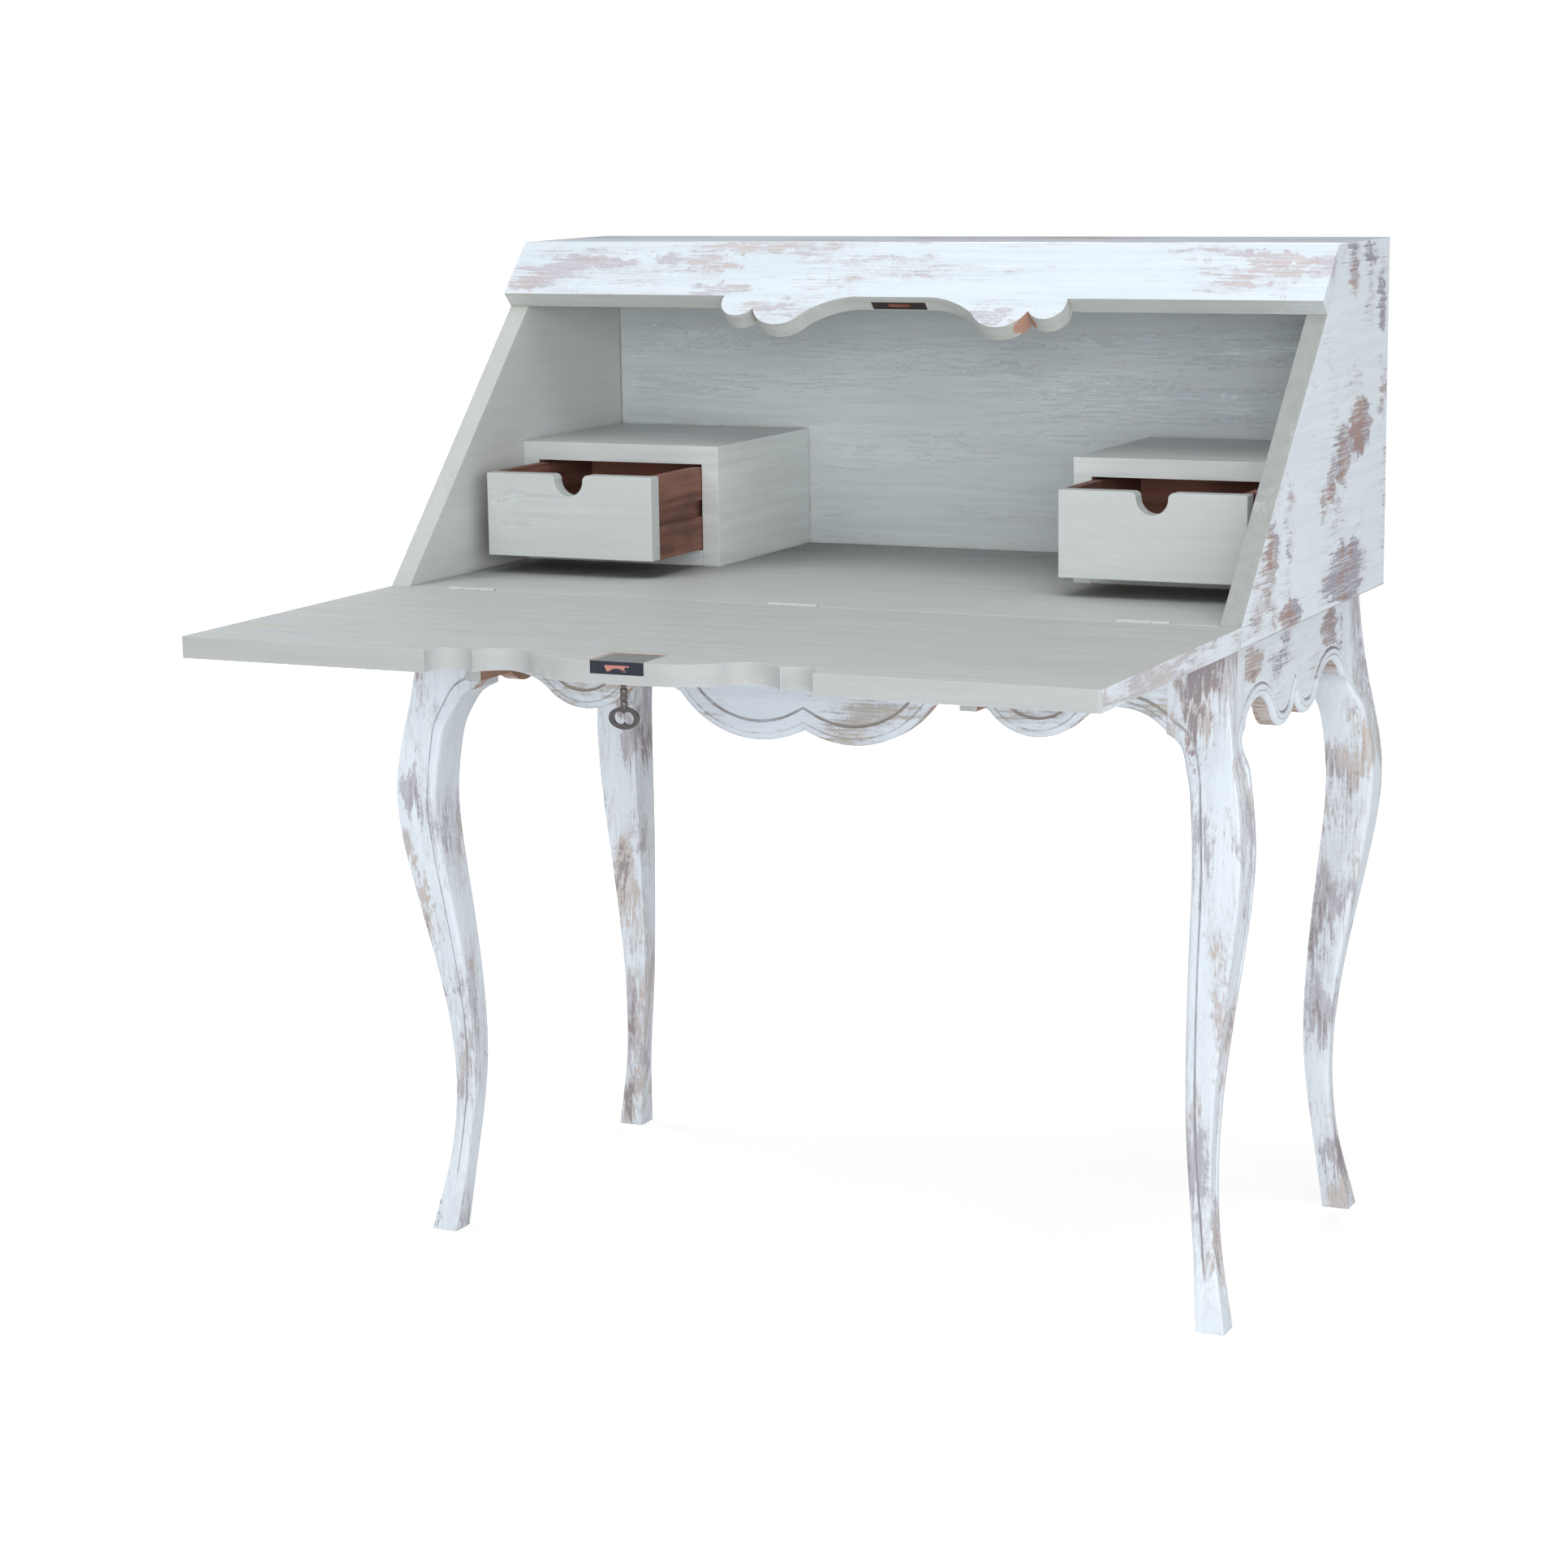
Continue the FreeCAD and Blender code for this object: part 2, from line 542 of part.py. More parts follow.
def make_lid():
    body = new_body("lid_blank")
    round_off = f"-lid_corner * {QUARTER_RISE}"
    pad(body, "XY_Plane", [[
        (f"lid_corner - {HALF_WIDTH}", f"-{LID_DEPTH}"),
        (f"{HALF_WIDTH} - lid_corner", f"-{LID_DEPTH}", round_off),
        (HALF_WIDTH, f"lid_corner - {LID_DEPTH}"), (HALF_WIDTH, f"-{LID_BACK}"),
        (f"-{HALF_WIDTH}", f"-{LID_BACK}"),
        (f"-{HALF_WIDTH}", f"lid_corner - {LID_DEPTH}", round_off)]], "lid_board")
    put(body, z=CASE_BOTTOM)
    hole_height = "lid_board - plate_board - works_height + 2"
    keyhole = rod("keyhole", ("lock_reach", KEY_Y, f"{CASE_BOTTOM} - 1"), "keyhole_radius",
                  hole_height)
    slot = keyhole_slot("keyhole_slot", f"{CASE_BOTTOM} - 1", hole_height)
    cutters = [fascia_clearance(), keyhole, slot, lock_works("works_recess")]
    cutters += lock_plates("recess")
    for side, x in HINGE_PLACES.items():
        cutters += hinge_cutters(f"lid_{side}", x, True)
    sub_part("lid", cut("lid_cut", body, cutters))


# ---------------------------------------------------------------- drawer boxes and drawers

SIDES = {"left": -1, "right": 1}
BOX_INNER = f"({INSIDE} - box_width)"
DRAWER_WIDTH = "(box_width - 2 * box_board - 2 * drawer_play)"
DRAWER_MIDDLE = f"({INSIDE} - box_width / 2)"
DRAWER_LOW = "(writing_height + box_bottom + drawer_lift)"
DRAWER_HEIGHT = "(box_height - box_board - box_bottom - drawer_lift - drawer_head_gap)"


def mirrored_block(name, way, inner, width, y, z, depth, height):
    """A block from a distance inner to inner + width on the left (way -1) or right (way 1)."""
    x = inner if way > 0 else f"-({inner}) - ({width})"
    return block(name, (x, y, z), (width, depth, height))


def make_box(side, way):
    depth = f"{BACK_FACE} - box_front"
    wall = "box_height - box_board"
    boards = {
        "top": (BOX_INNER, "box_width", f"writing_height + {wall}", "box_board"),
        "bottom": (f"{BOX_INNER} + box_board", "box_width - 2 * box_board", "writing_height",
                   "box_bottom"),
        "inner_side": (BOX_INNER, "box_board", "writing_height", wall),
        "outer_side": (f"{INSIDE} - box_board", "box_board", "writing_height", wall),
    }
    for board, (inner, width, z, height) in boards.items():
        label = f"box_{side}_{board}"
        sub_part(label, mirrored_block(label, way, inner, width, "box_front", z, depth, height))
    runner_width = "drawer_play + groove_depth - seat_gap"
    inners = {"inner": f"{BOX_INNER} + box_board", "outer": f"{INSIDE} - box_board - ({runner_width})"}
    for place, inner in inners.items():
        label = f"runner_{side}_{place}"
        sub_part(label, mirrored_block(
            label, way, inner, runner_width, "box_front + drawer_front_board + seat_gap",
            f"{DRAWER_LOW} + groove_lift + seat_gap",
            f"{depth} - drawer_front_board - seat_gap", "groove_height - 2 * seat_gap"))


def make_drawer_front(side, x, y):
    """The drawer's front with the finger notch in the middle of its top edge."""
    body = new_body(f"drawer_{side}_front")
    half, top = f"{DRAWER_WIDTH} / 2", DRAWER_HEIGHT
    lip = "finger_radius + finger_flare"
    flare, bowl = f"-finger_flare * {QUARTER_RISE}", f"finger_radius * {QUARTER_RISE}"
    pad(body, "XZ_Plane", [[
        (f"-{half}", "0"), (half, "0"), (half, top), (lip, top, flare),
        ("finger_radius", f"{top} - finger_flare", bowl), ("0", f"{top} - ({lip})", bowl),
        ("-finger_radius", f"{top} - finger_flare", flare), (f"-({lip})", top),
        (f"-{half}", top)]], "drawer_front_board", reverse=True)
    sub_part(f"drawer_{side}_front", put(body, x, y, DRAWER_LOW))


def make_drawer(side, way):
    """A drawer: front, two grooved sides, back and bottom."""
    middle = f"{way} * {DRAWER_MIDDLE}"
    front = f"(box_front - {side}_pull)"
    rear = f"({front} + drawer_front_board)"
    inside = f"({DRAWER_WIDTH} - 2 * drawer_side_board)"
    side_depth = "drawer_length - drawer_front_board"
    make_drawer_front(side, middle, front)
    tongue_z = f"{DRAWER_LOW} + drawer_bottom_lift"
    bottom_size = (f"{inside} + 2 * drawer_bottom_tongue", side_depth, "drawer_bottom_board")
    for place, hand in (("inner", -way), ("outer", way)):
        left = f"{middle} + {hand} * {DRAWER_WIDTH} / 2" + (" - drawer_side_board" if hand > 0 else "")
        outer = f"{middle} + {hand} * {DRAWER_WIDTH} / 2" + (" - groove_depth" if hand > 0 else "")
        label = f"drawer_{side}_{place}_side"
        board = block(f"{label}_blank", (left, rear, DRAWER_LOW),
                      ("drawer_side_board", side_depth, DRAWER_HEIGHT))
        groove = block(f"{label}_groove", (outer, rear, f"{DRAWER_LOW} + groove_lift"),
                       ("groove_depth", side_depth, "groove_height"))
        slot = centred_block(f"{label}_slot", middle, rear, tongue_z, *bottom_size)
        sub_part(label, cut(f"{label}_cut", board, [groove, slot]))
    sub_part(f"drawer_{side}_back", centred_block(
        f"drawer_{side}_back", middle, f"{front} + drawer_length - drawer_back_board",
        f"{tongue_z} + drawer_bottom_board", inside, "drawer_back_board",
        f"{DRAWER_HEIGHT} - drawer_bottom_lift - drawer_bottom_board - drawer_back_drop"))
    sub_part(f"drawer_{side}_bottom", centred_block(
        f"drawer_{side}_bottom", middle, rear, tongue_z, *bottom_size))


# ---------------------------------------------------------------- table base

def scalloped_apron(label, half_edge, half_length, notches=()):
    """An apron standing on the XZ plane: its back edge is y = apron_board."""
    body = new_body(label)
    top = [(half_length, CASE_BOTTOM)]
    for reach, width, depth in notches:
        near, far, low = f"{reach} - {width} / 2", f"{reach} + {width} / 2", f"{CASE_BOTTOM} - ({depth})"
        top += [(far, CASE_BOTTOM), (far, low), (near, low), (near, CASE_BOTTOM)]
        top += [(f"-({near})", CASE_BOTTOM), (f"-({near})", low), (f"-({far})", low),
                (f"-({far})", CASE_BOTTOM)]
    top.append((f"-({half_length})", CASE_BOTTOM))
    pad(body, "XZ_Plane", [both_sides(half_edge) + top], "apron_board", reverse=True)
    high = f"({CASE_BOTTOM} - tenon_inset)"
    low = f"({high} - tenon_height)"
    tenons = [rectangle(half_length, low, f"{half_length} + tenon_length", high),
              rectangle(f"-({half_length}) - tenon_length", low, f"-({half_length})", high)]
    pad(body, "XZ_Plane", tenons, "tenon_board", lift="-tenon_inset", reverse=True)
    return body


def at_drop(reach, drop, *bulge):
    return (reach, f"{CASE_BOTTOM} - {drop}", *bulge)


def make_aprons():
    front_half = POST_INNER
    side_half = f"({BASE_BACK} - base_inset - 2 * post_width) / 2"
    front_edge = [
        at_drop("0", "front_cusp_drop", "-front_lobe_bulge"),
        at_drop("front_lobe_reach", "front_lobe_top", "front_arch_bulge"),
        at_drop("front_arch_reach", "front_lobe_top", "-front_wing_bulge"),
        at_drop("front_wing_reach", "front_wing_top", "front_spring_bulge"),
        at_drop(front_half, "spring_drop"),
    ]
    side_edge = [
        at_drop("0", "side_cusp_drop", "-side_lobe_bulge"),
        at_drop("side_lobe_reach", "side_lobe_top", "side_spring_bulge"),
        at_drop(side_half, "spring_drop"),
    ]
    notch = (LOPER_REACH, "(loper_width + 2 * seat_gap)", "loper_height + 2 * seat_gap")
    front = scalloped_apron("apron_front", front_edge, front_half, [notch])
    sub_part("apron_front", put(front, "0", "base_inset"))
    back = scalloped_apron("apron_back", [at_drop(front_half, "spring_drop")], front_half)
    back.Placement.Rotation = Rotation(Vector(0, 0, 1), 180)
    sub_part("apron_back", put(back, "0", BASE_BACK))
    for side, way in SIDES.items():
        body = scalloped_apron(f"apron_{side}", side_edge, side_half)
        body.Placement.Rotation = Rotation(Vector(0, 0, 1), 90 * way)
        sub_part(f"apron_{side}", put(body, f"{way} * {BASE_SIDE}", "case_depth / 2"))


def spline(points, **ends):
    """A smooth curve through points in the (x, z) plane."""
    curve = Part.BSplineCurve()
    curve.interpolate([Vector(x, 0, z) for x, z in points], **ends)
    return curve.toShape()


def leg_curves():
    """The outer and inner edges of a leg from the post down, as (out, up) points."""
    size = {name: value(name) for name in SIZES}
    top = value(CASE_BOTTOM)
    knee, shin = top - size["knee_drop"], size["shin_up"]
    stations = [
        (size["knee_bulge"], size["knee_width"], knee),
        (size["calf_out"], size["calf_width"], (knee + shin) / 2),
        (-size["shin_hollow"], size["shin_width"], shin),
        (-size["ankle_hollow"], size["ankle_width"], size["ankle_up"]),
        (-size["heel_hollow"], size["heel_width"], size["heel_up"]),
        (size["toe_out"], size["toe_width"], 0),
    ]
    outer = [(0, top), (size["shoulder_out"], top - size["shoulder_drop"])]
    inner = [(-size["post_width"], top - size["spring_drop"]),
             (-size["bracket_reach"], top - size["bracket_drop"]),
             (-size["throat_reach"], top - size["throat_drop"])]
    outer += [(out, up) for out, _, up in stations]
    inner += [(out - width, up) for out, width, up in stations]
    return outer, inner


def leg_face():
    """The pattern that the leg is sawn to, from its outer edge to its inner edge."""
    outer, inner = leg_curves()
    post, top = value("post_width"), outer[0][1]
    edges = [spline(outer), spline(inner)]
    for start, end in (((-post, top), (outer[0][0], top)), ((-post, top), inner[0]),
                       (inner[-1], outer[-1])):
        edges.append(Part.makeLine(Vector(start[0], 0, start[1]), Vector(end[0], 0, end[1])))
    return Part.Face(Part.Wire(Part.__sortEdges__(edges)))


def sawn_leg():
    """A cabriole leg, its outer corner on the Z axis, standing out to +X and +Y.

    The blank is sawn to the same pattern from two faces, as the maker does it, and the
    mortises of the two aprons are cut in it.
    """
    reach = 2 * value("post_width")
    sawn = leg_face().extrude(Vector(0, 2 * reach, 0)).translated(Vector(0, -reach, 0))
    return sawn.common(sawn.rotated(Vector(0, 0, 0), Vector(0, 0, 1), 90))


def mortises():
    post, length, board, inset = (value(name) for name in (
        "post_width", "tenon_length", "tenon_board", "tenon_inset"))
    high = value(f"{CASE_BOTTOM} - tenon_inset")
    height = value("tenon_height")
    along_x = Part.makeBox(length + 1, board, height, Vector(-post - 1, -inset - board, high - height))
    along_y = Part.makeBox(board, length + 1, height, Vector(-inset - board, -post - 1, high - height))
    return [along_x, along_y]


def make_legs():
    shape = sawn_leg().cut(mortises())
    corners = {
        "leg_front_right": (1, "base_inset", -90), "leg_back_right": (1, BASE_BACK, 0),
        "leg_back_left": (-1, BASE_BACK, 90), "leg_front_left": (-1, "base_inset", 180),
    }
    for label, (way, y, turn) in corners.items():
        leg = doc.addObject("Part::Feature", label)
        leg.Shape = shape
        leg.Placement = FreeCAD.Placement(Vector(0, 0, 0), Rotation(Vector(0, 0, 1), turn))
        sub_part(label, put(leg, f"{way} * {BASE_SIDE}", y))


def make_lopers():
    """The slides under the lid, and the troughs that they run in under the desk floor."""
    trough_depth = f"{BASE_BACK} - base_inset - 2 * apron_board"
    inner = "(loper_width / 2 + seat_gap)"
    outer = f"({inner} + guide_board)"
    drop = "(loper_height + 2 * seat_gap)"
    trough = [
        (f"-{outer}", f"-{drop} - guide_board"), (outer, f"-{drop} - guide_board"), (outer, "0"),
        (inner, "0"), (inner, f"-{drop}"), (f"-{inner}", f"-{drop}"), (f"-{inner}", "0"),
        (f"-{outer}", "0"),
    ]
    for side, way in SIDES.items():
        reach = f"{way} * {LOPER_REACH}"
        sub_part(f"loper_{side}", centred_block(
            f"loper_{side}", reach, "base_inset - loper_pull",
            f"{CASE_BOTTOM} - seat_gap - loper_height", "loper_width", "loper_length", "loper_height"))
        guide = new_body(f"loper_guide_{side}")
        pad(guide, "XZ_Plane", [trough], trough_depth, reverse=True)
        sub_part(f"loper_guide_{side}", put(guide, reach, "base_inset + apron_board", CASE_BOTTOM))


# ---------------------------------------------------------------- build, check and write

def check_document():
    """Stop if anything failed to build."""
    for item in doc.Objects:
        if "Invalid" in item.State or "Error" in item.State:
            raise RuntimeError(f"{item.Label} failed: {item.State}")
    for label, item in nodes.items():
        if item.Shape.isNull() or not item.Shape.isValid():
            raise RuntimeError(f"{label} has no valid shape")


def export_parts():
    os.makedirs("parts", exist_ok=True)
    for label, item in nodes.items():
        item.Shape.exportStep(os.path.join("parts", f"{label}.step"))


def main():
    make_legs()
    make_aprons()
    make_lopers()
    make_sides()
    make_desk_floor()
    make_top_board()
    make_back_panel()
    make_fascia()
    make_strike_plate()
    make_hinges()
    make_lid()
    make_lock()
    make_key()
    for side, way in SIDES.items():
        make_box(side, way)
        make_drawer(side, way)
    doc.recompute()
    check_document()
    export_parts()
    print(f"{len(nodes)} sub-parts written")


main()
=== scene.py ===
"""A bonheur du jour with its fall front laid open: white rubbed paint outside, grey paint inside.

Every length is in metres in the row frame: +Z up, the front towards -Y, the floor at Z = 0.
"""

from __future__ import annotations

import json
import logging
import math
from dataclasses import dataclass, field
from enum import Enum
from typing import Callable, Sequence

import bmesh
import bpy
import numpy as np
from mathutils import Matrix, Vector

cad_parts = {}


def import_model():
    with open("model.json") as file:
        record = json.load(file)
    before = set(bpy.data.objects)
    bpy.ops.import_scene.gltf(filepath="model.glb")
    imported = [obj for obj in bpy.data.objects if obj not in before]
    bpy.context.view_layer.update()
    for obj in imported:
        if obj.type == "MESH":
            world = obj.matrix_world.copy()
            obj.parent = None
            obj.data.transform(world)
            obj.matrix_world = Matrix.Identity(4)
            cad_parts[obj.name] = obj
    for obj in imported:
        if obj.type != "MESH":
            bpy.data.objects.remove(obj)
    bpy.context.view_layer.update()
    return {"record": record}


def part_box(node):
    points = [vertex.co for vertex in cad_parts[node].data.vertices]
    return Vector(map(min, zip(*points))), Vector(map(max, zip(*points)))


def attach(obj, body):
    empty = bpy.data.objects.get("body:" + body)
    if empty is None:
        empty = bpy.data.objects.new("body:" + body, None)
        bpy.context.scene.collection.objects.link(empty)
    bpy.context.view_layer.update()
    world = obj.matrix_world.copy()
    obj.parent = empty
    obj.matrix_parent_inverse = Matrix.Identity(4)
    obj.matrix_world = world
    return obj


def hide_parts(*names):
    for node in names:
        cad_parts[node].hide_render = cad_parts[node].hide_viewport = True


LOG = logging.getLogger("bonheur_du_jour")
MM = 0.001
GROOVE_MARK = "groove"
MERGE = 1e-6
ARRIS_SEGMENTS = 2
ARRIS_ANGLE = math.radians(32.0)
FLAT = math.radians(0.5)
ALONG_ARC = 40
PAST_END = 8
CURVE_POINTS = 800
HALF_TURNED = 0.5
BUMP_STRENGTH = 0.6
Colour = tuple[float, float, float]
Triple = tuple[float, float, float]
Spot = tuple[float, float, float, float, float]
Chooser = Callable[[Vector, Vector], int]
BACK, FRONT = Vector((0.0, 1.0, 0.0)), Vector((0.0, -1.0, 0.0))
UP, DOWN = Vector((0.0, 0.0, 1.0)), Vector((0.0, 0.0, -1.0))


class Slot(Enum):
    """The record's material slots."""

    WHITE = "white_paint"
    GREY = "grey_paint"
    WOOD = "dark_wood"
    PAINTED_STEEL = "painted_steel"
    STEEL = "steel"
    IRON = "iron"


class Grain(Enum):
    """The way that the brush runs, as bristle lines per metre along X, Y and Z."""

    ACROSS = (22.0, 420.0, 420.0)
    UPRIGHT = (420.0, 420.0, 22.0)
    DEEP = (420.0, 22.0, 420.0)

    @property
    def way(self) -> Triple:
        """The direction of the strokes: 1 along the axis with the fewest lines."""
        return tuple(float(count == min(self.value)) for count in self.value)


# ---------------------------------------------------------------- wiring of shader nodes


class Graph:
    """A node tree that is being wired."""

    def __init__(self, tree: bpy.types.NodeTree) -> None:
        """Take an empty tree.

        Args:
            tree: the tree of a material, a world or a group.
        """
        self.tree = tree

    def node(self, kind: str, **settings: object) -> bpy.types.Node:
        """Add a node.

        Args:
            kind: the node's type, without its ShaderNode prefix.
            settings: properties of the node.

        Returns:
            The new node.
        """
        made = self.tree.nodes.new(kind if kind.startswith("NodeGroup") else f"ShaderNode{kind}")
        for name, setting in settings.items():
            setattr(made, name, setting)
        return made

    def feed(self, target: bpy.types.NodeSocket, source: object) -> None:
        """Link a socket into another one, or set a plain value on it.

        Args:
            target: the input socket.
            source: an output socket, a number, a colour or a vector.
        """
        if isinstance(source, bpy.types.NodeSocket):
            self.tree.links.new(source, target)
        elif target.type == "RGBA":
            target.default_value = (*source, 1.0)
        else:
            target.default_value = source

    def math(self, operation: str, *operands: object) -> bpy.types.NodeSocket:
        """A Math node.

        Args:
            operation: the operation's name.
            operands: sockets or numbers.

        Returns:
            Its output socket.
        """
        made = self.node("Math", operation=operation)
        for target, operand in zip(made.inputs, operands):
            self.feed(target, operand)
        return made.outputs[0]

    def vector(self, operation: str, *operands: object) -> bpy.types.NodeSocket:
        """A Vector Math node.

        Args:
            operation: the operation's name.
            operands: sockets or vectors.

        Returns:
            Its output socket, a number for LENGTH and DOT_PRODUCT.
        """
        made = self.node("VectorMath", operation=operation)
        for target, operand in zip(made.inputs, operands):
            self.feed(target, operand)
        return made.outputs["Value" if operation in ("LENGTH", "DOT_PRODUCT") else "Vector"]

    def noise(self, place: object, scale: float, detail: float = 4.0,
              roughness: float = 0.55) -> bpy.types.NodeSocket:
        """A Noise Texture's factor.

        Args:
            place: the coordinates' socket.
            scale: cells per unit.
            detail: octaves.
            roughness: the weight of the finer octaves.

        Returns:
            A value around a half.
        """
        made = self.node("TexNoise")
        for name, setting in (("Vector", place), ("Scale", scale), ("Detail", detail),
                              ("Roughness", roughness)):
            self.feed(made.inputs[name], setting)
        return made.outputs[0]

    def noise_colour(self, place: object, scale: float, detail: float,
                     roughness: float) -> bpy.types.NodeSocket:
        """A Noise Texture's colour: three values around a half, each with its own pattern."""
        return self.noise(place, scale, detail, roughness).node.outputs[1]

    def vector_of(self, amount: object) -> bpy.types.NodeSocket:
        """A vector whose three parts are the same amount.

        Args:
            amount: a socket or a number.

        Returns:
            The vector's socket.
        """
        made = self.node("CombineXYZ")
        for target in made.inputs:
            self.feed(target, amount)
        return made.outputs[0]

    def times(self, first: object, second: object) -> bpy.types.NodeSocket:
        """The product of two values."""
        return self.math("MULTIPLY", first, second)

    def plus(self, first: object, second: object) -> bpy.types.NodeSocket:
        """The sum of two values."""
        return self.math("ADD", first, second)

    def minus(self, first: object, second: object) -> bpy.types.NodeSocket:
        """The first value less the second."""
        return self.math("SUBTRACT", first, second)

    def swing(self, amount: object, gain: float) -> bpy.types.NodeSocket:
        """How far an amount around a half is from it, times a gain."""
        return self.times(self.minus(amount, 0.5), gain)

    def blend(self, first: object, share: float, second: object) -> bpy.types.NodeSocket:
        """A share of one value and the rest of another."""
        return self.plus(self.times(first, share), self.times(second, 1.0 - share))

    def to_the_eye(self) -> bpy.types.NodeSocket:
        """Whether a ray is seen straight, in gloss or through glass, and doesn't only light.

        Returns:
            1 for such a ray and 0 for any other.
        """
        path = self.node("LightPath").outputs
        return self.math("MAXIMUM", path["Is Camera Ray"], self.math(
            "MAXIMUM", path["Is Glossy Ray"], path["Is Transmission Ray"]))

    def step(self, amount: object, low: object, high: object,
             start: float = 0.0, end: float = 1.0) -> bpy.types.NodeSocket:
        """A smooth step.

        Args:
            amount: the value that is stepped.
            low: where the step begins.
            high: where it ends.
            start: the result below low.
            end: the result above high.

        Returns:
            The stepped value.
        """
        made = self.node("MapRange", interpolation_type="SMOOTHSTEP")
        for index, setting in enumerate((amount, low, high, start, end)):
            self.feed(made.inputs[index], setting)
        return made.outputs[0]

    def mix(self, share: object, first: object, second: object) -> bpy.types.NodeSocket:
        """Mix two colours.

        Args:
            share: how much of the second colour.
            first: the first colour.
            second: the second colour.

        Returns:
            The mixed colour.
        """
        made = self.node("Mix", data_type="RGBA")
        for index, setting in ((0, share), (6, first), (7, second)):
            self.feed(made.inputs[index], setting)
        return made.outputs[2]


SOCKETS = {"value": "NodeSocketFloat", "colour": "NodeSocketColor", "vector": "NodeSocketVector"}


def shader_group(name: str, inputs: Sequence[tuple[str, str]],
                 outputs: Sequence[tuple[str, str]]) -> tuple[Graph, dict, dict]:
    """Start a shader node group with named sockets.

    Args:
        name: the group's name.
        inputs: pairs of a socket's name and its kind.
        outputs: the same for what it puts out.

    Returns:
        The group's graph, its input sockets by name and its output sockets by name.
    """
    tree = bpy.data.node_groups.new(name, "ShaderNodeTree")
    for way, sockets in (("INPUT", inputs), ("OUTPUT", outputs)):
        for label, kind in sockets:
            tree.interface.new_socket(name=label, in_out=way, socket_type=SOCKETS[kind])
    graph = Graph(tree)
    given = graph.node("NodeGroupInput").outputs
    put = graph.node("NodeGroupOutput").inputs
    return graph, {pair[0]: given[pair[0]] for pair in inputs}, {
        pair[0]: put[pair[0]] for pair in outputs}


def brush_drag_group() -> bpy.types.NodeTree:
    """Coordinates dragged to and fro along the brush strokes.

    Each point is moved along the strokes by bristle-fine and by broader noise, and a little every
    way by coarse noise, so that whatever is drawn with them gets a brushed and broken rim.

    Returns:
        The group: the dragged place, and the fine and the broad bristle lines.
    """
    broad_scale, crumble_scale, crumble_reach = 0.24, 75.0, 0.028
    graph, given, put = shader_group(
        "brush_drag",
        [("Grain", "vector"), ("Way", "vector"), ("Seed", "vector"), ("Drag", "value")],
        [("Place", "vector"), ("Fine", "value"), ("Broad", "value")])
    plain = graph.node("TexCoord").outputs["Object"]
    place = graph.vector("ADD", plain, given["Seed"])
    along = graph.vector("MULTIPLY", place, given["Grain"])
    fine = graph.noise(along, 1.0, 3.0, 0.6)
    broad = graph.noise(along, broad_scale, 2.0, 0.5)
    shift = graph.plus(graph.swing(fine, 0.6), graph.swing(broad, 1.0))
    reach = graph.vector_of(graph.times(shift, given["Drag"]))
    dragged = graph.vector("MULTIPLY", given["Way"], reach)
    jitter = graph.noise_colour(place, crumble_scale, 4.0, 0.65)
    crumble = graph.vector("MULTIPLY", graph.vector("SUBTRACT", jitter, (0.5,) * 3),
                           (crumble_reach,) * 3)
    graph.feed(put["Place"], graph.vector("ADD", graph.vector("ADD", plain, dragged), crumble))
    graph.feed(put["Fine"], fine)
    graph.feed(put["Broad"], broad)
    return graph.tree


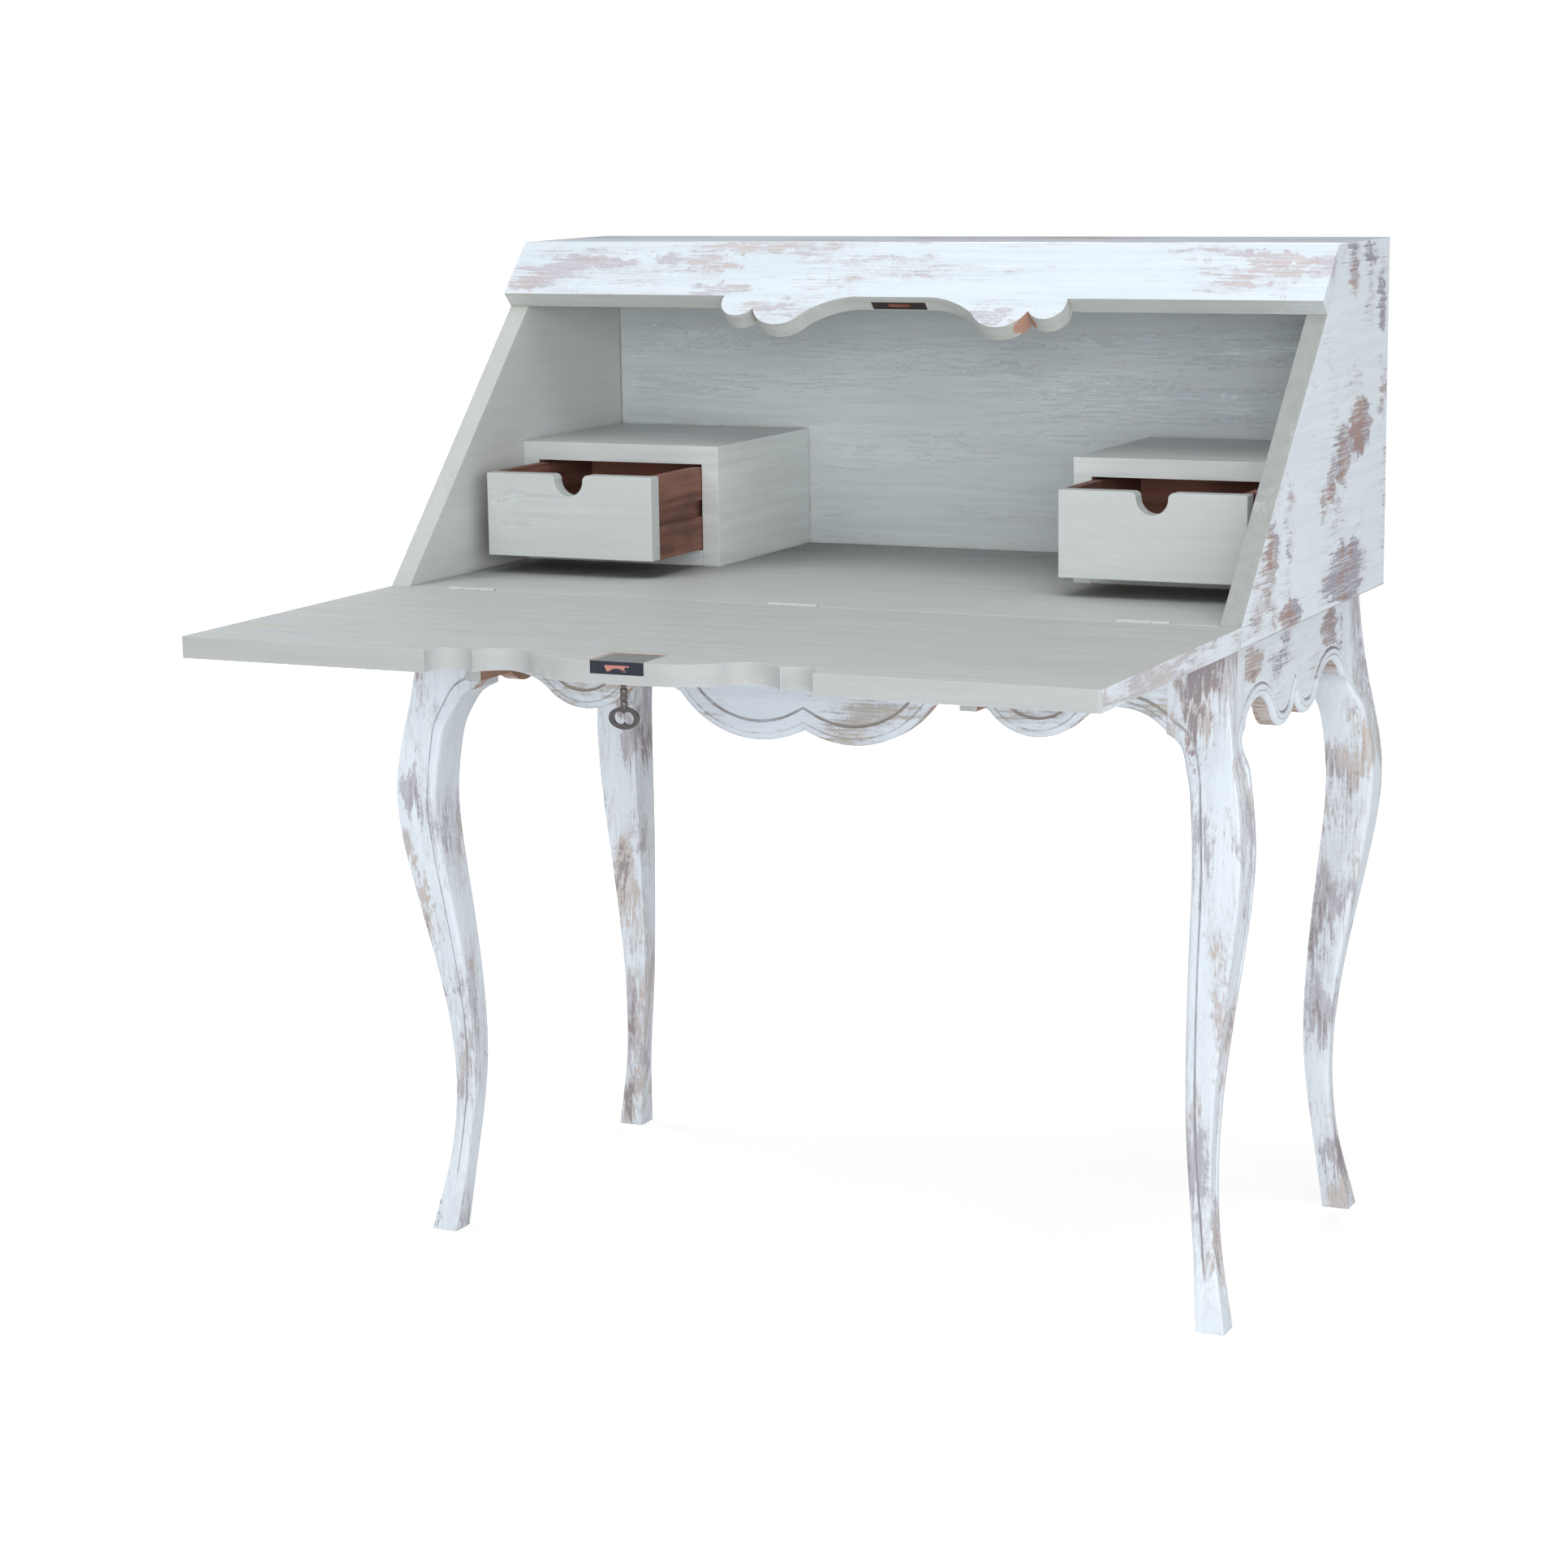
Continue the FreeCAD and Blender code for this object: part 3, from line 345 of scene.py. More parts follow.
def rubbed_paint_group() -> bpy.types.NodeTree:
    """Brushed paint rubbed through in patches: a thin veil first, then the undercoat, then wood.

    The wear is a cloud of noise at the dragged place, plus what the patches add, plus bristle
    lines and grit that make its rims ragged. Each layer shows where the wear passes its own
    threshold, and bristle lines of paint stay on the undercoat.

    Returns:
        The group: the colour, the roughness and the height.
    """
    bristle_gain, grit_scale, grit_gain, hue_scale = 0.42, 260.0, 0.30, 9.0
    veil_from, undercoat_from, wood_from, wood_cover = -0.12, 0.0, 0.15, 0.9
    least_lines, smooth, rubbed_rougher, rubbed_lower = 0.55, 0.52, 0.2, 1.1
    graph, given, put = shader_group(
        "rubbed_paint",
        [("Place", "vector"), ("Fine", "value"), ("Broad", "value"), ("Cloud", "vector"),
         ("Seed", "vector"), ("Paint", "colour"), ("Shade", "colour"), ("Veil", "colour"),
         ("Worn", "colour"), ("Cool", "colour"), ("Bare", "colour"), ("Wear", "value"),
         ("Thin", "value"), ("Patch", "value")],
        [("Color", "colour"), ("Roughness", "value"), ("Height", "value")])
    place = graph.vector("ADD", given["Place"], given["Seed"])
    cloud = graph.noise(graph.vector("MULTIPLY", place, given["Cloud"]), 1.0, 4.0, 0.6)
    grit = graph.noise(place, grit_scale, 3.0, 0.7)
    hue = graph.step(graph.noise(place, hue_scale, 3.0, 0.5), 0.44, 0.56)
    ragged = graph.plus(graph.swing(given["Fine"], bristle_gain), graph.swing(grit, grit_gain))
    worn = graph.plus(graph.plus(cloud, given["Patch"]), ragged)
    threshold = graph.minus(1.0, given["Wear"])

    def past(start: float, width: float) -> bpy.types.NodeSocket:
        """How far the wear is past the threshold: a step that begins at start."""
        low = graph.plus(threshold, start)
        return graph.step(worn, low, graph.plus(low, width))

    lines = graph.step(given["Fine"], 0.38, 0.56, least_lines, 1.0)
    tone = graph.step(graph.blend(given["Broad"], 0.6, given["Fine"]), 0.38, 0.64)
    rubbed = graph.times(lines, past(undercoat_from, 0.03))
    veiled = graph.times(past(veil_from, 0.1), given["Thin"])
    bared = graph.times(past(wood_from, 0.03), wood_cover)
    colour = graph.mix(tone, given["Paint"], given["Shade"])
    colour = graph.mix(veiled, colour, given["Veil"])
    colour = graph.mix(rubbed, colour, graph.mix(hue, given["Worn"], given["Cool"]))
    graph.feed(put["Color"], graph.mix(bared, colour, given["Bare"]))
    rough, sunk = (graph.times(rubbed, gain) for gain in (rubbed_rougher, rubbed_lower))
    graph.feed(put["Roughness"], graph.plus(smooth, rough))
    graph.feed(put["Height"], graph.minus(given["Fine"], sunk))
    return graph.tree


def placed_patch_group() -> bpy.types.NodeTree:
    """A spot at a place: one less the distance from its centre, measured in its own reaches.

    Returns:
        The group: what came before plus the spot.
    """
    graph, given, put = shader_group(
        "placed_patch", [("Place", "vector"), ("Centre", "vector"), ("Reach", "vector"),
                         ("Weight", "value"), ("Before", "value")], [("Patch", "value")])
    away = graph.vector("DIVIDE", graph.vector("SUBTRACT", given["Place"], given["Centre"]),
                        given["Reach"])
    spot = graph.step(graph.minus(1.0, graph.vector("LENGTH", away)), 0.0, 0.4)
    graph.feed(put["Patch"], graph.plus(graph.times(spot, given["Weight"]), given["Before"]))
    return graph.tree


def edge_wear_and_highlight_group() -> bpy.types.NodeTree:
    """How far the surface turns within a small radius: one less the rounded normal's cosine.

    Returns:
        The group: what came before plus the rubbed edge, broken by noise; on the grey paints, whose
            worn tones are pale, the edge is a painted highlight as well as wear.
    """
    graph, given, put = shader_group(
        "edge_wear_and_highlight", [("Radius", "value"), ("Weight", "value"), ("Before", "value")],
        [("Patch", "value")])
    rounded = graph.node("Bevel", samples=4)
    graph.feed(rounded.inputs["Radius"], given["Radius"])
    normal, place = (graph.node(kind).outputs[name] for kind, name in (
        ("NewGeometry", "Normal"), ("TexCoord", "Object")))
    turn = graph.vector("DOT_PRODUCT", rounded.outputs[0], normal)
    least_turn, full_turn, break_scale = 0.02, 0.25, 38.0
    edge = graph.step(graph.minus(1.0, turn), least_turn, full_turn)
    broken = graph.step(graph.noise(place, break_scale, 4.0, 0.6), 0.36, 0.62)
    amount = graph.times(graph.times(edge, broken), given["Weight"])
    graph.feed(put["Patch"], graph.plus(amount, given["Before"]))
    return graph.tree


def corner_shade_and_grime_group() -> bpy.types.NodeTree:
    """A colour darkened in inner corners, where little of the surround is seen: painted shade with
    soiling.

    Returns:
        The group: the colour, darkened in the corners.
    """
    graph, given, put = shader_group(
        "corner_shade_and_grime", [("Color", "colour"), ("Grime", "colour"), ("Reach", "value"),
                         ("Break", "value")], [("Color", "colour")])
    least_hidden, most_hidden, break_scale, most_broken = 0.28, 0.62, 30.0, 0.75
    # Ambient occlusion darkens the colour in inner corners: painted shade, with soiling.
    seen = graph.node("AmbientOcclusion", samples=6)
    graph.feed(seen.inputs["Distance"], given["Reach"])
    place = graph.node("TexCoord").outputs["Object"]
    broken = graph.step(graph.noise(place, break_scale, 4.0, 0.65), 0.35, 0.6, most_broken, 0.0)
    kept = graph.minus(1.0, graph.times(broken, given["Break"]))
    hidden = graph.step(graph.minus(1.0, seen.outputs["AO"]), least_hidden, most_hidden)
    soiled_and_shaded = graph.mix(graph.times(hidden, kept), given["Color"], given["Grime"])
    graph.feed(put["Color"], soiled_and_shaded)
    return graph.tree


def open_grain_group() -> bpy.types.NodeTree:
    """Wood grain: long noise drawn out along the grain, with fine dark pores on it.

    Returns:
        The group: the colour, the roughness and the height.
    """
    graph, given, put = shader_group(
        "open_grain", [("Grain", "vector"), ("Light", "colour"), ("Dark", "colour")],
        [("Color", "colour"), ("Roughness", "value"), ("Height", "value")])
    place = graph.node("TexCoord").outputs["Object"]
    along = graph.vector("MULTIPLY", place, given["Grain"])
    figure_scale, pore_scale, blotch_scale, pore_weight = 0.25, 1.6, 14.0, 0.45
    figure = graph.noise(along, figure_scale, 5.0, 0.6)
    pores = graph.noise(along, pore_scale, 3.0, 0.7)
    blotch = graph.noise(place, blotch_scale, 3.0, 0.5)
    tone = graph.step(graph.blend(figure, 0.6, blotch), 0.38, 0.62)
    colour = graph.mix(tone, given["Dark"], given["Light"])
    dark_pores = graph.step(pores, 0.62, 0.74)
    colour = graph.mix(graph.times(dark_pores, pore_weight), colour, given["Dark"])
    graph.feed(put["Color"], colour)
    graph.feed(put["Roughness"], graph.plus(0.5, graph.times(figure, 0.3)))
    graph.feed(put["Height"], graph.minus(figure, dark_pores))
    return graph.tree


def aged_metal_group() -> bpy.types.NodeTree:
    """Metal whose clean tone gives way to tarnish where two scales of noise agree.

    Returns:
        The group: the colour, the roughness and the height.
    """
    graph, given, put = shader_group(
        "aged_metal", [("Clean", "colour"), ("Tarnish", "colour"), ("Spread", "value")],
        [("Color", "colour"), ("Roughness", "value"), ("Height", "value")])
    place = graph.node("TexCoord").outputs["Object"]
    coarse_scale, grit_scale, rust_rim = 120.0, 900.0, 0.16
    coarse = graph.noise(place, coarse_scale, 4.0, 0.6)
    grit = graph.noise(place, grit_scale, 3.0, 0.6)
    mixed = graph.blend(coarse, 0.7, grit)
    threshold = graph.minus(1.0, given["Spread"])
    rust = graph.step(mixed, threshold, graph.plus(threshold, rust_rim))
    graph.feed(put["Color"], graph.mix(rust, given["Clean"], given["Tarnish"]))
    graph.feed(put["Roughness"], graph.plus(0.42, graph.times(rust, 0.4)))
    graph.feed(put["Height"], graph.plus(mixed, graph.times(grit, 0.4)))
    return graph.tree


class Groups:
    """The shader node groups, each built once."""

    made: dict[str, bpy.types.NodeTree] = {}

    @classmethod
    def get(cls, maker: Callable[[], bpy.types.NodeTree]) -> bpy.types.NodeTree:
        """The group that a maker builds.

        Args:
            maker: the function that builds the group.

        Returns:
            The group, built on the first call.
        """
        if maker.__name__ not in cls.made:
            cls.made[maker.__name__] = maker()
        return cls.made[maker.__name__]


# ---------------------------------------------------------------- finishes


@dataclass(frozen=True)
class Patch:
    """A place where the paint is rubbed through or left thick.

    Attributes:
        centre: its middle.
        reach: how far it goes along X, Y and Z.
        weight: how strongly it wears the paint; a negative weight keeps the paint.
    """

    centre: Triple
    reach: Triple
    weight: float = 0.25


@dataclass(frozen=True)
class Finish:
    """A finish that is made into a material once."""

    name: str

    def material(self) -> bpy.types.Material:
        """Make the finish into a material, on the first call.

        Returns:
            The material of the finish's name.
        """
        found = bpy.data.materials.get(self.name)
        if found:
            return found
        made = bpy.data.materials.new(self.name)
        made.use_nodes = True
        self.wire(Graph(made.node_tree), made.node_tree.nodes["Principled BSDF"])
        return made

    def wire(self, graph: Graph, shader: bpy.types.Node) -> None:
        """Wire the finish into its Principled shader.

        Args:
            graph: the material's graph.
            shader: its Principled BSDF.
        """
        raise NotImplementedError

    @staticmethod
    def use_group(graph: Graph, maker: Callable[[], bpy.types.NodeTree],
                  **values: object) -> bpy.types.Node:
        """Place a shared group in the material.

        Args:
            graph: the material's graph.
            maker: the function that builds the group.
            values: what its inputs get, by name.

        Returns:
            The group node.
        """
        node = graph.node("Group", node_tree=Groups.get(maker))
        for name, setting in values.items():
            graph.feed(node.inputs[name], setting)
        return node

    @staticmethod
    def dress(graph: Graph, shader: bpy.types.Node, group: bpy.types.Node, relief: float,
              colour: bpy.types.NodeSocket | None = None) -> None:
        """Feed a group's colour, roughness and height into the shader.

        Args:
            graph: the material's graph.
            shader: its Principled BSDF.
            group: the placed group.
            relief: the height's scale.
            colour: a colour that takes the place of the group's own.
        """
        graph.feed(shader.inputs["Base Color"], colour or group.outputs["Color"])
        graph.feed(shader.inputs["Roughness"], group.outputs["Roughness"])
        bump = graph.node("Bump")
        bump.inputs["Strength"].default_value = BUMP_STRENGTH
        bump.inputs["Distance"].default_value = relief
        graph.feed(bump.inputs["Height"], group.outputs["Height"])
        graph.feed(shader.inputs["Normal"], bump.outputs["Normal"])


@dataclass(frozen=True)
class Paint(Finish):
    """Brushed paint, rubbed through to its undercoat and to the wood.

    Attributes:
        paint, shade: the paint's own two tones.
        veil: the paint where it is thin.
        worn, cool: the undercoat's warm and cool tones.
        bare: the wood; in the grey paints a pale tone, so that their rubbed arrises are painted
            highlights as well as wear.
        wear: how much of it is rubbed through.
        thin: how much the veil covers.
        grain: the way of the strokes.
        cloud: cells of the wear per metre along X, Y and Z.
        seed: where the noise is read.
        drag: how far rims are dragged along the strokes.
        edge, edge_radius: how much an arris is rubbed, and within what radius; on the grey paints
            this paints a highlight along it as well.
        groove: how much a marked groove adds to the wear, which darkens it.
        relief: the height of the strokes.
        gloss: the shader's specular level.
        grime_and_shade, grime_and_shade_reach, grime_and_shade_break: the colour that inner corners
            darken to, painted shade with soiling, the reach of a corner and how broken it is.
        patches: the places that are rubbed more or less.
    """

    paint: Colour = (0.80, 0.87, 0.93)
    shade: Colour = (0.74, 0.81, 0.88)
    veil: Colour = (0.62, 0.62, 0.66)
    worn: Colour = (0.50, 0.43, 0.42)
    cool: Colour = (0.38, 0.37, 0.43)
    bare: Colour = (0.38, 0.26, 0.23)
    wear: float = 0.4
    thin: float = 0.5
    grain: Grain = Grain.ACROSS
    cloud: Triple = (5.0, 24.0, 24.0)
    seed: Triple = (0.0, 0.0, 0.0)
    drag: float = 0.09
    edge: float = 0.12
    edge_radius: float = 2.5 * MM
    groove: float = 0.0
    relief: float = 0.35 * MM
    gloss: float = 0.25
    # The colour that inner corners darken to: painted shade, with soiling.
    grime_and_shade: Colour = (0.42, 0.37, 0.30)
    grime_and_shade_reach: float = 0.0
    grime_and_shade_break: float = 1.0
    patches: tuple[Patch, ...] = ()

    def wire(self, graph: Graph, shader: bpy.types.Node) -> None:
        """Wire the paint: its patches add up before they reach the paint's group.

        Args:
            graph: the material's graph.
            shader: its Principled BSDF.
        """
        drag = self.use_group(graph, brush_drag_group, Grain=self.grain.value, Way=self.grain.way,
                              Seed=self.seed, Drag=self.drag)
        so_far: object = 0.0
        if self.edge:
            so_far = self.use_group(graph, edge_wear_and_highlight_group, Radius=self.edge_radius,
                                    Weight=self.edge).outputs[0]
        if self.groove:
            mark = graph.node("Attribute", attribute_name=GROOVE_MARK).outputs["Fac"]
            broken = graph.step(drag.outputs["Broad"], 0.35, 0.6, 0.35, 1.0)
            so_far = graph.plus(so_far, graph.times(graph.times(mark, broken), self.groove))
        for patch in self.patches:
            so_far = self.use_group(
                graph, placed_patch_group, Place=drag.outputs["Place"], Centre=patch.centre,
                Reach=patch.reach, Weight=patch.weight, Before=so_far).outputs[0]
        group = self.use_group(
            graph, rubbed_paint_group, Place=drag.outputs["Place"], Fine=drag.outputs["Fine"],
            Broad=drag.outputs["Broad"], Cloud=self.cloud, Seed=self.seed, Paint=self.paint,
            Shade=self.shade, Veil=self.veil, Worn=self.worn, Cool=self.cool, Bare=self.bare,
            Wear=self.wear, Thin=self.thin, Patch=so_far)
        colour = group.outputs["Color"]
        if self.grime_and_shade_reach:
            colour = self.use_group(graph, corner_shade_and_grime_group, Color=colour, Grime=self.grime_and_shade,
                                    Reach=self.grime_and_shade_reach, Break=self.grime_and_shade_break).outputs[0]
        self.dress(graph, shader, group, self.relief, colour)
        shader.inputs["Specular IOR Level"].default_value = self.gloss


@dataclass(frozen=True)
class GreyPaint(Paint):
    """The soft grey paint of the inside, brushed in faint paler and darker strokes."""

    paint: Colour = (0.565, 0.59, 0.575)
    shade: Colour = (0.50, 0.525, 0.505)
    veil: Colour = (0.59, 0.625, 0.625)
    worn: Colour = (0.62, 0.67, 0.69)
    cool: Colour = (0.57, 0.62, 0.67)
    # A pale tone, not wood: the rubbed arrises turn to it, painted highlights as well as wear.
    bare: Colour = (0.76, 0.81, 0.83)
    wear: float = 0.36
    edge: float = 0.46
    edge_radius: float = 1.2 * MM
    cloud: Triple = (3.0, 20.0, 30.0)
    drag: float = 0.30
    relief: float = 0.22 * MM
    # Inner corners darken within 7 mm: painted shade, with soiling.
    grime_and_shade_reach: float = 7.0 * MM


@dataclass(frozen=True)
class Timber(Finish):
    """Bare or oiled wood."""

    light: Colour = (0.13, 0.055, 0.036)
    dark: Colour = (0.055, 0.022, 0.016)
    grain: Grain = Grain.ACROSS
    relief: float = 0.3 * MM
    gloss: float = 0.3

    def wire(self, graph: Graph, shader: bpy.types.Node) -> None:
        """Wire the wood's grain.

        Args:
            graph: the material's graph.
            shader: its Principled BSDF.
        """
        group = self.use_group(graph, open_grain_group, Grain=self.grain.value, Light=self.light,
                               Dark=self.dark)
        self.dress(graph, shader, group, self.relief)
        shader.inputs["Specular IOR Level"].default_value = self.gloss


@dataclass(frozen=True)
class Metal(Finish):
    """Old metal, or metal that was painted over."""

    clean: Colour = (0.05, 0.055, 0.07)
    tarnish: Colour = (0.10, 0.05, 0.035)
    spread: float = 0.45
    metallic: float = 0.8
    gloss: float = 0.5
    relief: float = 0.15 * MM

    def wire(self, graph: Graph, shader: bpy.types.Node) -> None:
        """Wire the metal and its tarnish.

        Args:
            graph: the material's graph.
            shader: its Principled BSDF.
        """
        group = self.use_group(graph, aged_metal_group, Clean=self.clean, Tarnish=self.tarnish,
                               Spread=self.spread)
        self.dress(graph, shader, group, self.relief)
        shader.inputs["Metallic"].default_value = self.metallic
        shader.inputs["Specular IOR Level"].default_value = self.gloss


# ---------------------------------------------------------------- meshes


def link(name: str, mesh: bpy.types.Mesh) -> bpy.types.Object:
    """Put a mesh in the scene as an object at the origin.

    Args:
        name: the piece's name.
        mesh: its mesh.

    Returns:
        The new object.
    """
    piece = bpy.data.objects.new(name, mesh)
    bpy.context.scene.collection.objects.link(piece)
    return piece


def tidy_mesh(mesh: bpy.types.Mesh, flat: float = 0.0) -> None:
    """Merge doubled corners, drop faces with no area and point the faces outwards.

    Args:
        mesh: the mesh.
        flat: faces that turn less than this angle from each other become one; 0 leaves them.
    """
    work = bmesh.new()
    work.from_mesh(mesh)
    bmesh.ops.remove_doubles(work, verts=work.verts, dist=MERGE)
    bmesh.ops.dissolve_degenerate(work, dist=MERGE, edges=work.edges)
    if flat:
        bmesh.ops.dissolve_limit(work, angle_limit=flat, verts=work.verts, edges=work.edges)
    bmesh.ops.recalc_face_normals(work, faces=work.faces)
    work.to_mesh(mesh)
    work.free()


def soften(piece: bpy.types.Object, width: float) -> None:
    """Round the arrises of a piece and shade its faces evenly.

    Args:
        piece: the piece.
        width: the width of the rounding.
    """
    piece.data.shade_smooth()
    bevel = piece.modifiers.new("arris", "BEVEL")
    bevel.width = width
    bevel.segments = ARRIS_SEGMENTS
    bevel.limit_method = "ANGLE"
    bevel.angle_limit = ARRIS_ANGLE
    bevel.use_clamp_overlap = True
    piece.modifiers.new("even_shading", "WEIGHTED_NORMAL").keep_sharp = True


def lofted(name: str, loops: np.ndarray, groove: np.ndarray | None = None) -> bpy.types.Object:
    """A closed tube through loops of points, with a face across each end.

    Point j of loop i is joined to point j + 1 of that loop and to point j of loop i + 1.

    Args:
        name: the piece's name.
        loops: an array of loops by points by 3.
        groove: how deep in a groove each point lies, from 0 to 1, for the finish.

    Returns:
        The new object.
    """
    count, around = loops.shape[:2]
    first = np.arange(count - 1)[:, None] * around
    here = np.arange(around)
    after = (here + 1) % around
    corners = (first + here, first + after, first + around + after, first + around + here)
    quads = np.stack(corners, -1)
    faces = quads.reshape(-1, 4).tolist()
    faces += [list(range(around)), list(range((count - 1) * around, count * around))]
    mesh = bpy.data.meshes.new(name)
    mesh.from_pydata(loops.reshape(-1, 3).tolist(), [], faces)
    if groove is not None:
        mark = mesh.attributes.new(GROOVE_MARK, "FLOAT", "POINT")
        mark.data.foreach_set("value", groove.reshape(-1))
    tidy_mesh(mesh)
    return link(name, mesh)


def smooth_through(points: Sequence[tuple[float, float]], count: int) -> np.ndarray:
    """A natural cubic spline through points, its parameter the length of the chords.

    On each span the curve is the cubic whose second slopes at the ends solve the usual
    tridiagonal system, with none at the two ends of the whole.

    Args:
        points: the points that it passes.
        count: how many points are worked out along it.

    Returns:
        An array of count by 2.
    """
    knots = np.asarray(points, float)
    at = np.concatenate([[0.0], np.cumsum(np.linalg.norm(np.diff(knots, axis=0), axis=1))])
    gap = np.diff(at)
    size = len(knots)
    system, right = np.eye(size), np.zeros((size, 2))
    inner = np.arange(1, size - 1)
    system[inner, inner - 1], system[inner, inner] = gap[:-1], 2 * (gap[:-1] + gap[1:])
    system[inner, inner + 1] = gap[1:]
    rise = np.diff(knots, axis=0) / gap[:, None]
    right[inner] = 6 * (rise[1:] - rise[:-1])
    bend = np.linalg.solve(system, right)
    where = np.linspace(0, at[-1], count)
    span = np.clip(np.searchsorted(at, where, side="right") - 1, 0, size - 2)
    width = gap[span][:, None]
    left, into = (at[span + 1] - where)[:, None], (where - at[span])[:, None]
    return (bend[span] * left ** 3 + bend[span + 1] * into ** 3) / (6 * width) + (
        knots[span] / width - bend[span] * width / 6) * left + (
        knots[span + 1] / width - bend[span + 1] * width / 6) * into


def arc_points(start: tuple[float, float], end: tuple[float, float],
               bulge: float) -> np.ndarray:
    """An arc that bulges to the left of the way from start to end when bulge is positive.

    Args:
        start: its first point.
        end: its last point.
        bulge: its rise over the chord.

    Returns:
        Its points, n by 2.
    """
    first, last = np.asarray(start, float), np.asarray(end, float)
    chord = last - first
    length = np.linalg.norm(chord)
    left = np.array([-chord[1], chord[0]]) / length
    radius = (length ** 2 / 4 + bulge ** 2) / (2 * abs(bulge))
    half = math.asin(min(1.0, length / 2 / radius))
    turn = np.linspace(-half, half, ALONG_ARC)[:, None]
    along, over = radius * np.sin(turn), radius * np.cos(turn) - radius * math.cos(half)
    return (first + last) / 2 + along * chord / length + over * left * math.copysign(1, bulge)


def offset_line(line: np.ndarray, distance: float | np.ndarray, mitre: bool) -> np.ndarray:
    """A line moved to its left by a distance, along its own normals.

    Args:
        line: the line, n by 2.
        distance: how far it is moved, one value or one for each point.
        mitre: whether the first point lies on a mitre, where the mirrored line meets it, so that
            it moves straight up towards where the two moved lines cross.

    Returns:
        The moved line, n by 2.
    """
    way = np.gradient(line, axis=0)
    way /= np.linalg.norm(way, axis=1)[:, None]
    normal = np.stack([-way[:, 1], way[:, 0]], -1)
    reach = np.broadcast_to(distance, len(line))
    moved = line + normal * reach[:, None]
    if mitre:
        moved[0] = line[0] + np.array([0.0, reach[0] / max(normal[0, 1], 0.7)])
    return moved


def resample(line: np.ndarray, shares: np.ndarray, limit: float) -> np.ndarray:
    """Points along a line at shares of the way to where its first coordinate reaches a limit.

    Args:
        line: the line, n by 2, its first coordinate rising at the limit.
        shares: values from 0 to 1.
        limit: the first coordinate's last value.

    Returns:
        The points, one for each share.
    """
    step = np.arange(len(line), dtype=float)
    past = int(np.argmax(line[:, 0] >= limit))
    before = past - 1
    last = before + (limit - line[before, 0]) / (line[past, 0] - line[before, 0])
    where = shares * last
    return np.stack([np.interp(where, step, line[:, axis]) for axis in (0, 1)], -1)


def smooth_step(amount: np.ndarray | float, low: float, high: float) -> np.ndarray:
    """The smooth step of an amount from low to high: 3 s s - 2 s s s, s its share of the way."""
    share = np.clip((np.asarray(amount, float) - low) / (high - low), 0, 1)
    return share * share * (3 - 2 * share)


# ---------------------------------------------------------------- pieces


@dataclass
class Workshop:
    """Makes pieces from CAD nodes and from computed meshes, and seats them on their bodies.

    Attributes:
        bodies: each node's body.
        made: the names of the pieces so far.
    """

    bodies: dict[str, str]
    made: list[str] = field(default_factory=list)

    def seat(self, piece: bpy.types.Object, node: str, slot: Slot, replaces: bool = True) -> None:
        """Let a piece ride on the body of a node.

        Args:
            piece: the piece.
            node: the CAD node that it belongs to.
            slot: the record's material slot; not used.
            replaces: whether it stands for that node.
        """
        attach(piece, self.bodies[node])
        if replaces:
            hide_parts(node)
        self.made.append(piece.name)

    def board(self, node: str, slot: Slot, finishes: Sequence[Finish],
              choose: Chooser = lambda normal, middle: 0, arris: float = 1.1 * MM) -> None:
        """A softened copy of a CAD board that stands for it.

        Args:
            node: the CAD node.
            slot: the record's material slot.
            finishes: the finishes of its faces.
            choose: gives the index of a face's finish from its normal and its middle; where
                none is given, all faces have the first finish.
            arris: the width of the rounded arrises.
        """
        mesh = bpy.data.objects[node].data.copy()
        mesh.name = f"{node}_dressed"
        tidy_mesh(mesh, FLAT)
        piece = link(f"{node}_dressed", mesh)
        mesh.materials.clear()
        for finish in finishes:
            mesh.materials.append(finish.material())
        for face in mesh.polygons:
            face.material_index = choose(face.normal, face.center)
        soften(piece, arris)
        self.seat(piece, node, slot)

    def trim(self, name: str, loops: np.ndarray, finish: Finish, node: str, slot: Slot,
             smooth: bool = False) -> None:
        """A small computed piece that goes with a node and stands for none.

        Args:
            name: its name.
            loops: its sections, an array of loops by points by 3.
            finish: what it is made of.
            node: the CAD node that it belongs to.
            slot: the record's material slot.
            smooth: whether its faces are shaded as one.
        """
        piece = lofted(name, loops)
        piece.data.materials.append(finish.material())
        if smooth:
            piece.data.shade_smooth()
        self.seat(piece, node, slot, replaces=False)


def facing(way: Vector, least: float = HALF_TURNED) -> Chooser:
    """A chooser: the second finish for faces that are turned a way, the first for the others.

    Args:
        way: the direction.
        least: how much of the face's normal has to lie along it.

    Returns:
        The chooser.
    """
    return lambda normal, middle: int(normal.dot(way) > least)


def placed_patches(axis: int, level: float, through: float,
                   spots: Sequence[Spot]) -> tuple[Patch, ...]:
    """The patches of an upright face.

    Args:
        axis: the axis across the face, 0 for X or 1 for Y.
        level: where the face lies along that axis.
        through: how far the patches reach along it.
        spots: (along, up, reach along, reach up, weight), with lengths in millimetres.

    Returns:
        One patch for each spot.
    """
    def across(value: float, along: float, up: float) -> Triple:
        """A point or a reach, with its value across the face put in."""
        rest = [along * MM, up * MM]
        return (*rest[:axis], value, *rest[axis:])

    return tuple(Patch(across(level, along, up), across(through, wide, high), weight)
                 for along, up, wide, high, weight in spots)


def set_creases(piece: bpy.types.Object, degrees: float) -> None:
    """Shade a piece smoothly but for edges that turn more than an angle."""
    piece.data.shade_smooth()
    piece.data.set_sharp_from_angle(angle=math.radians(degrees))


# ---------------------------------------------------------------- camera, floor and light


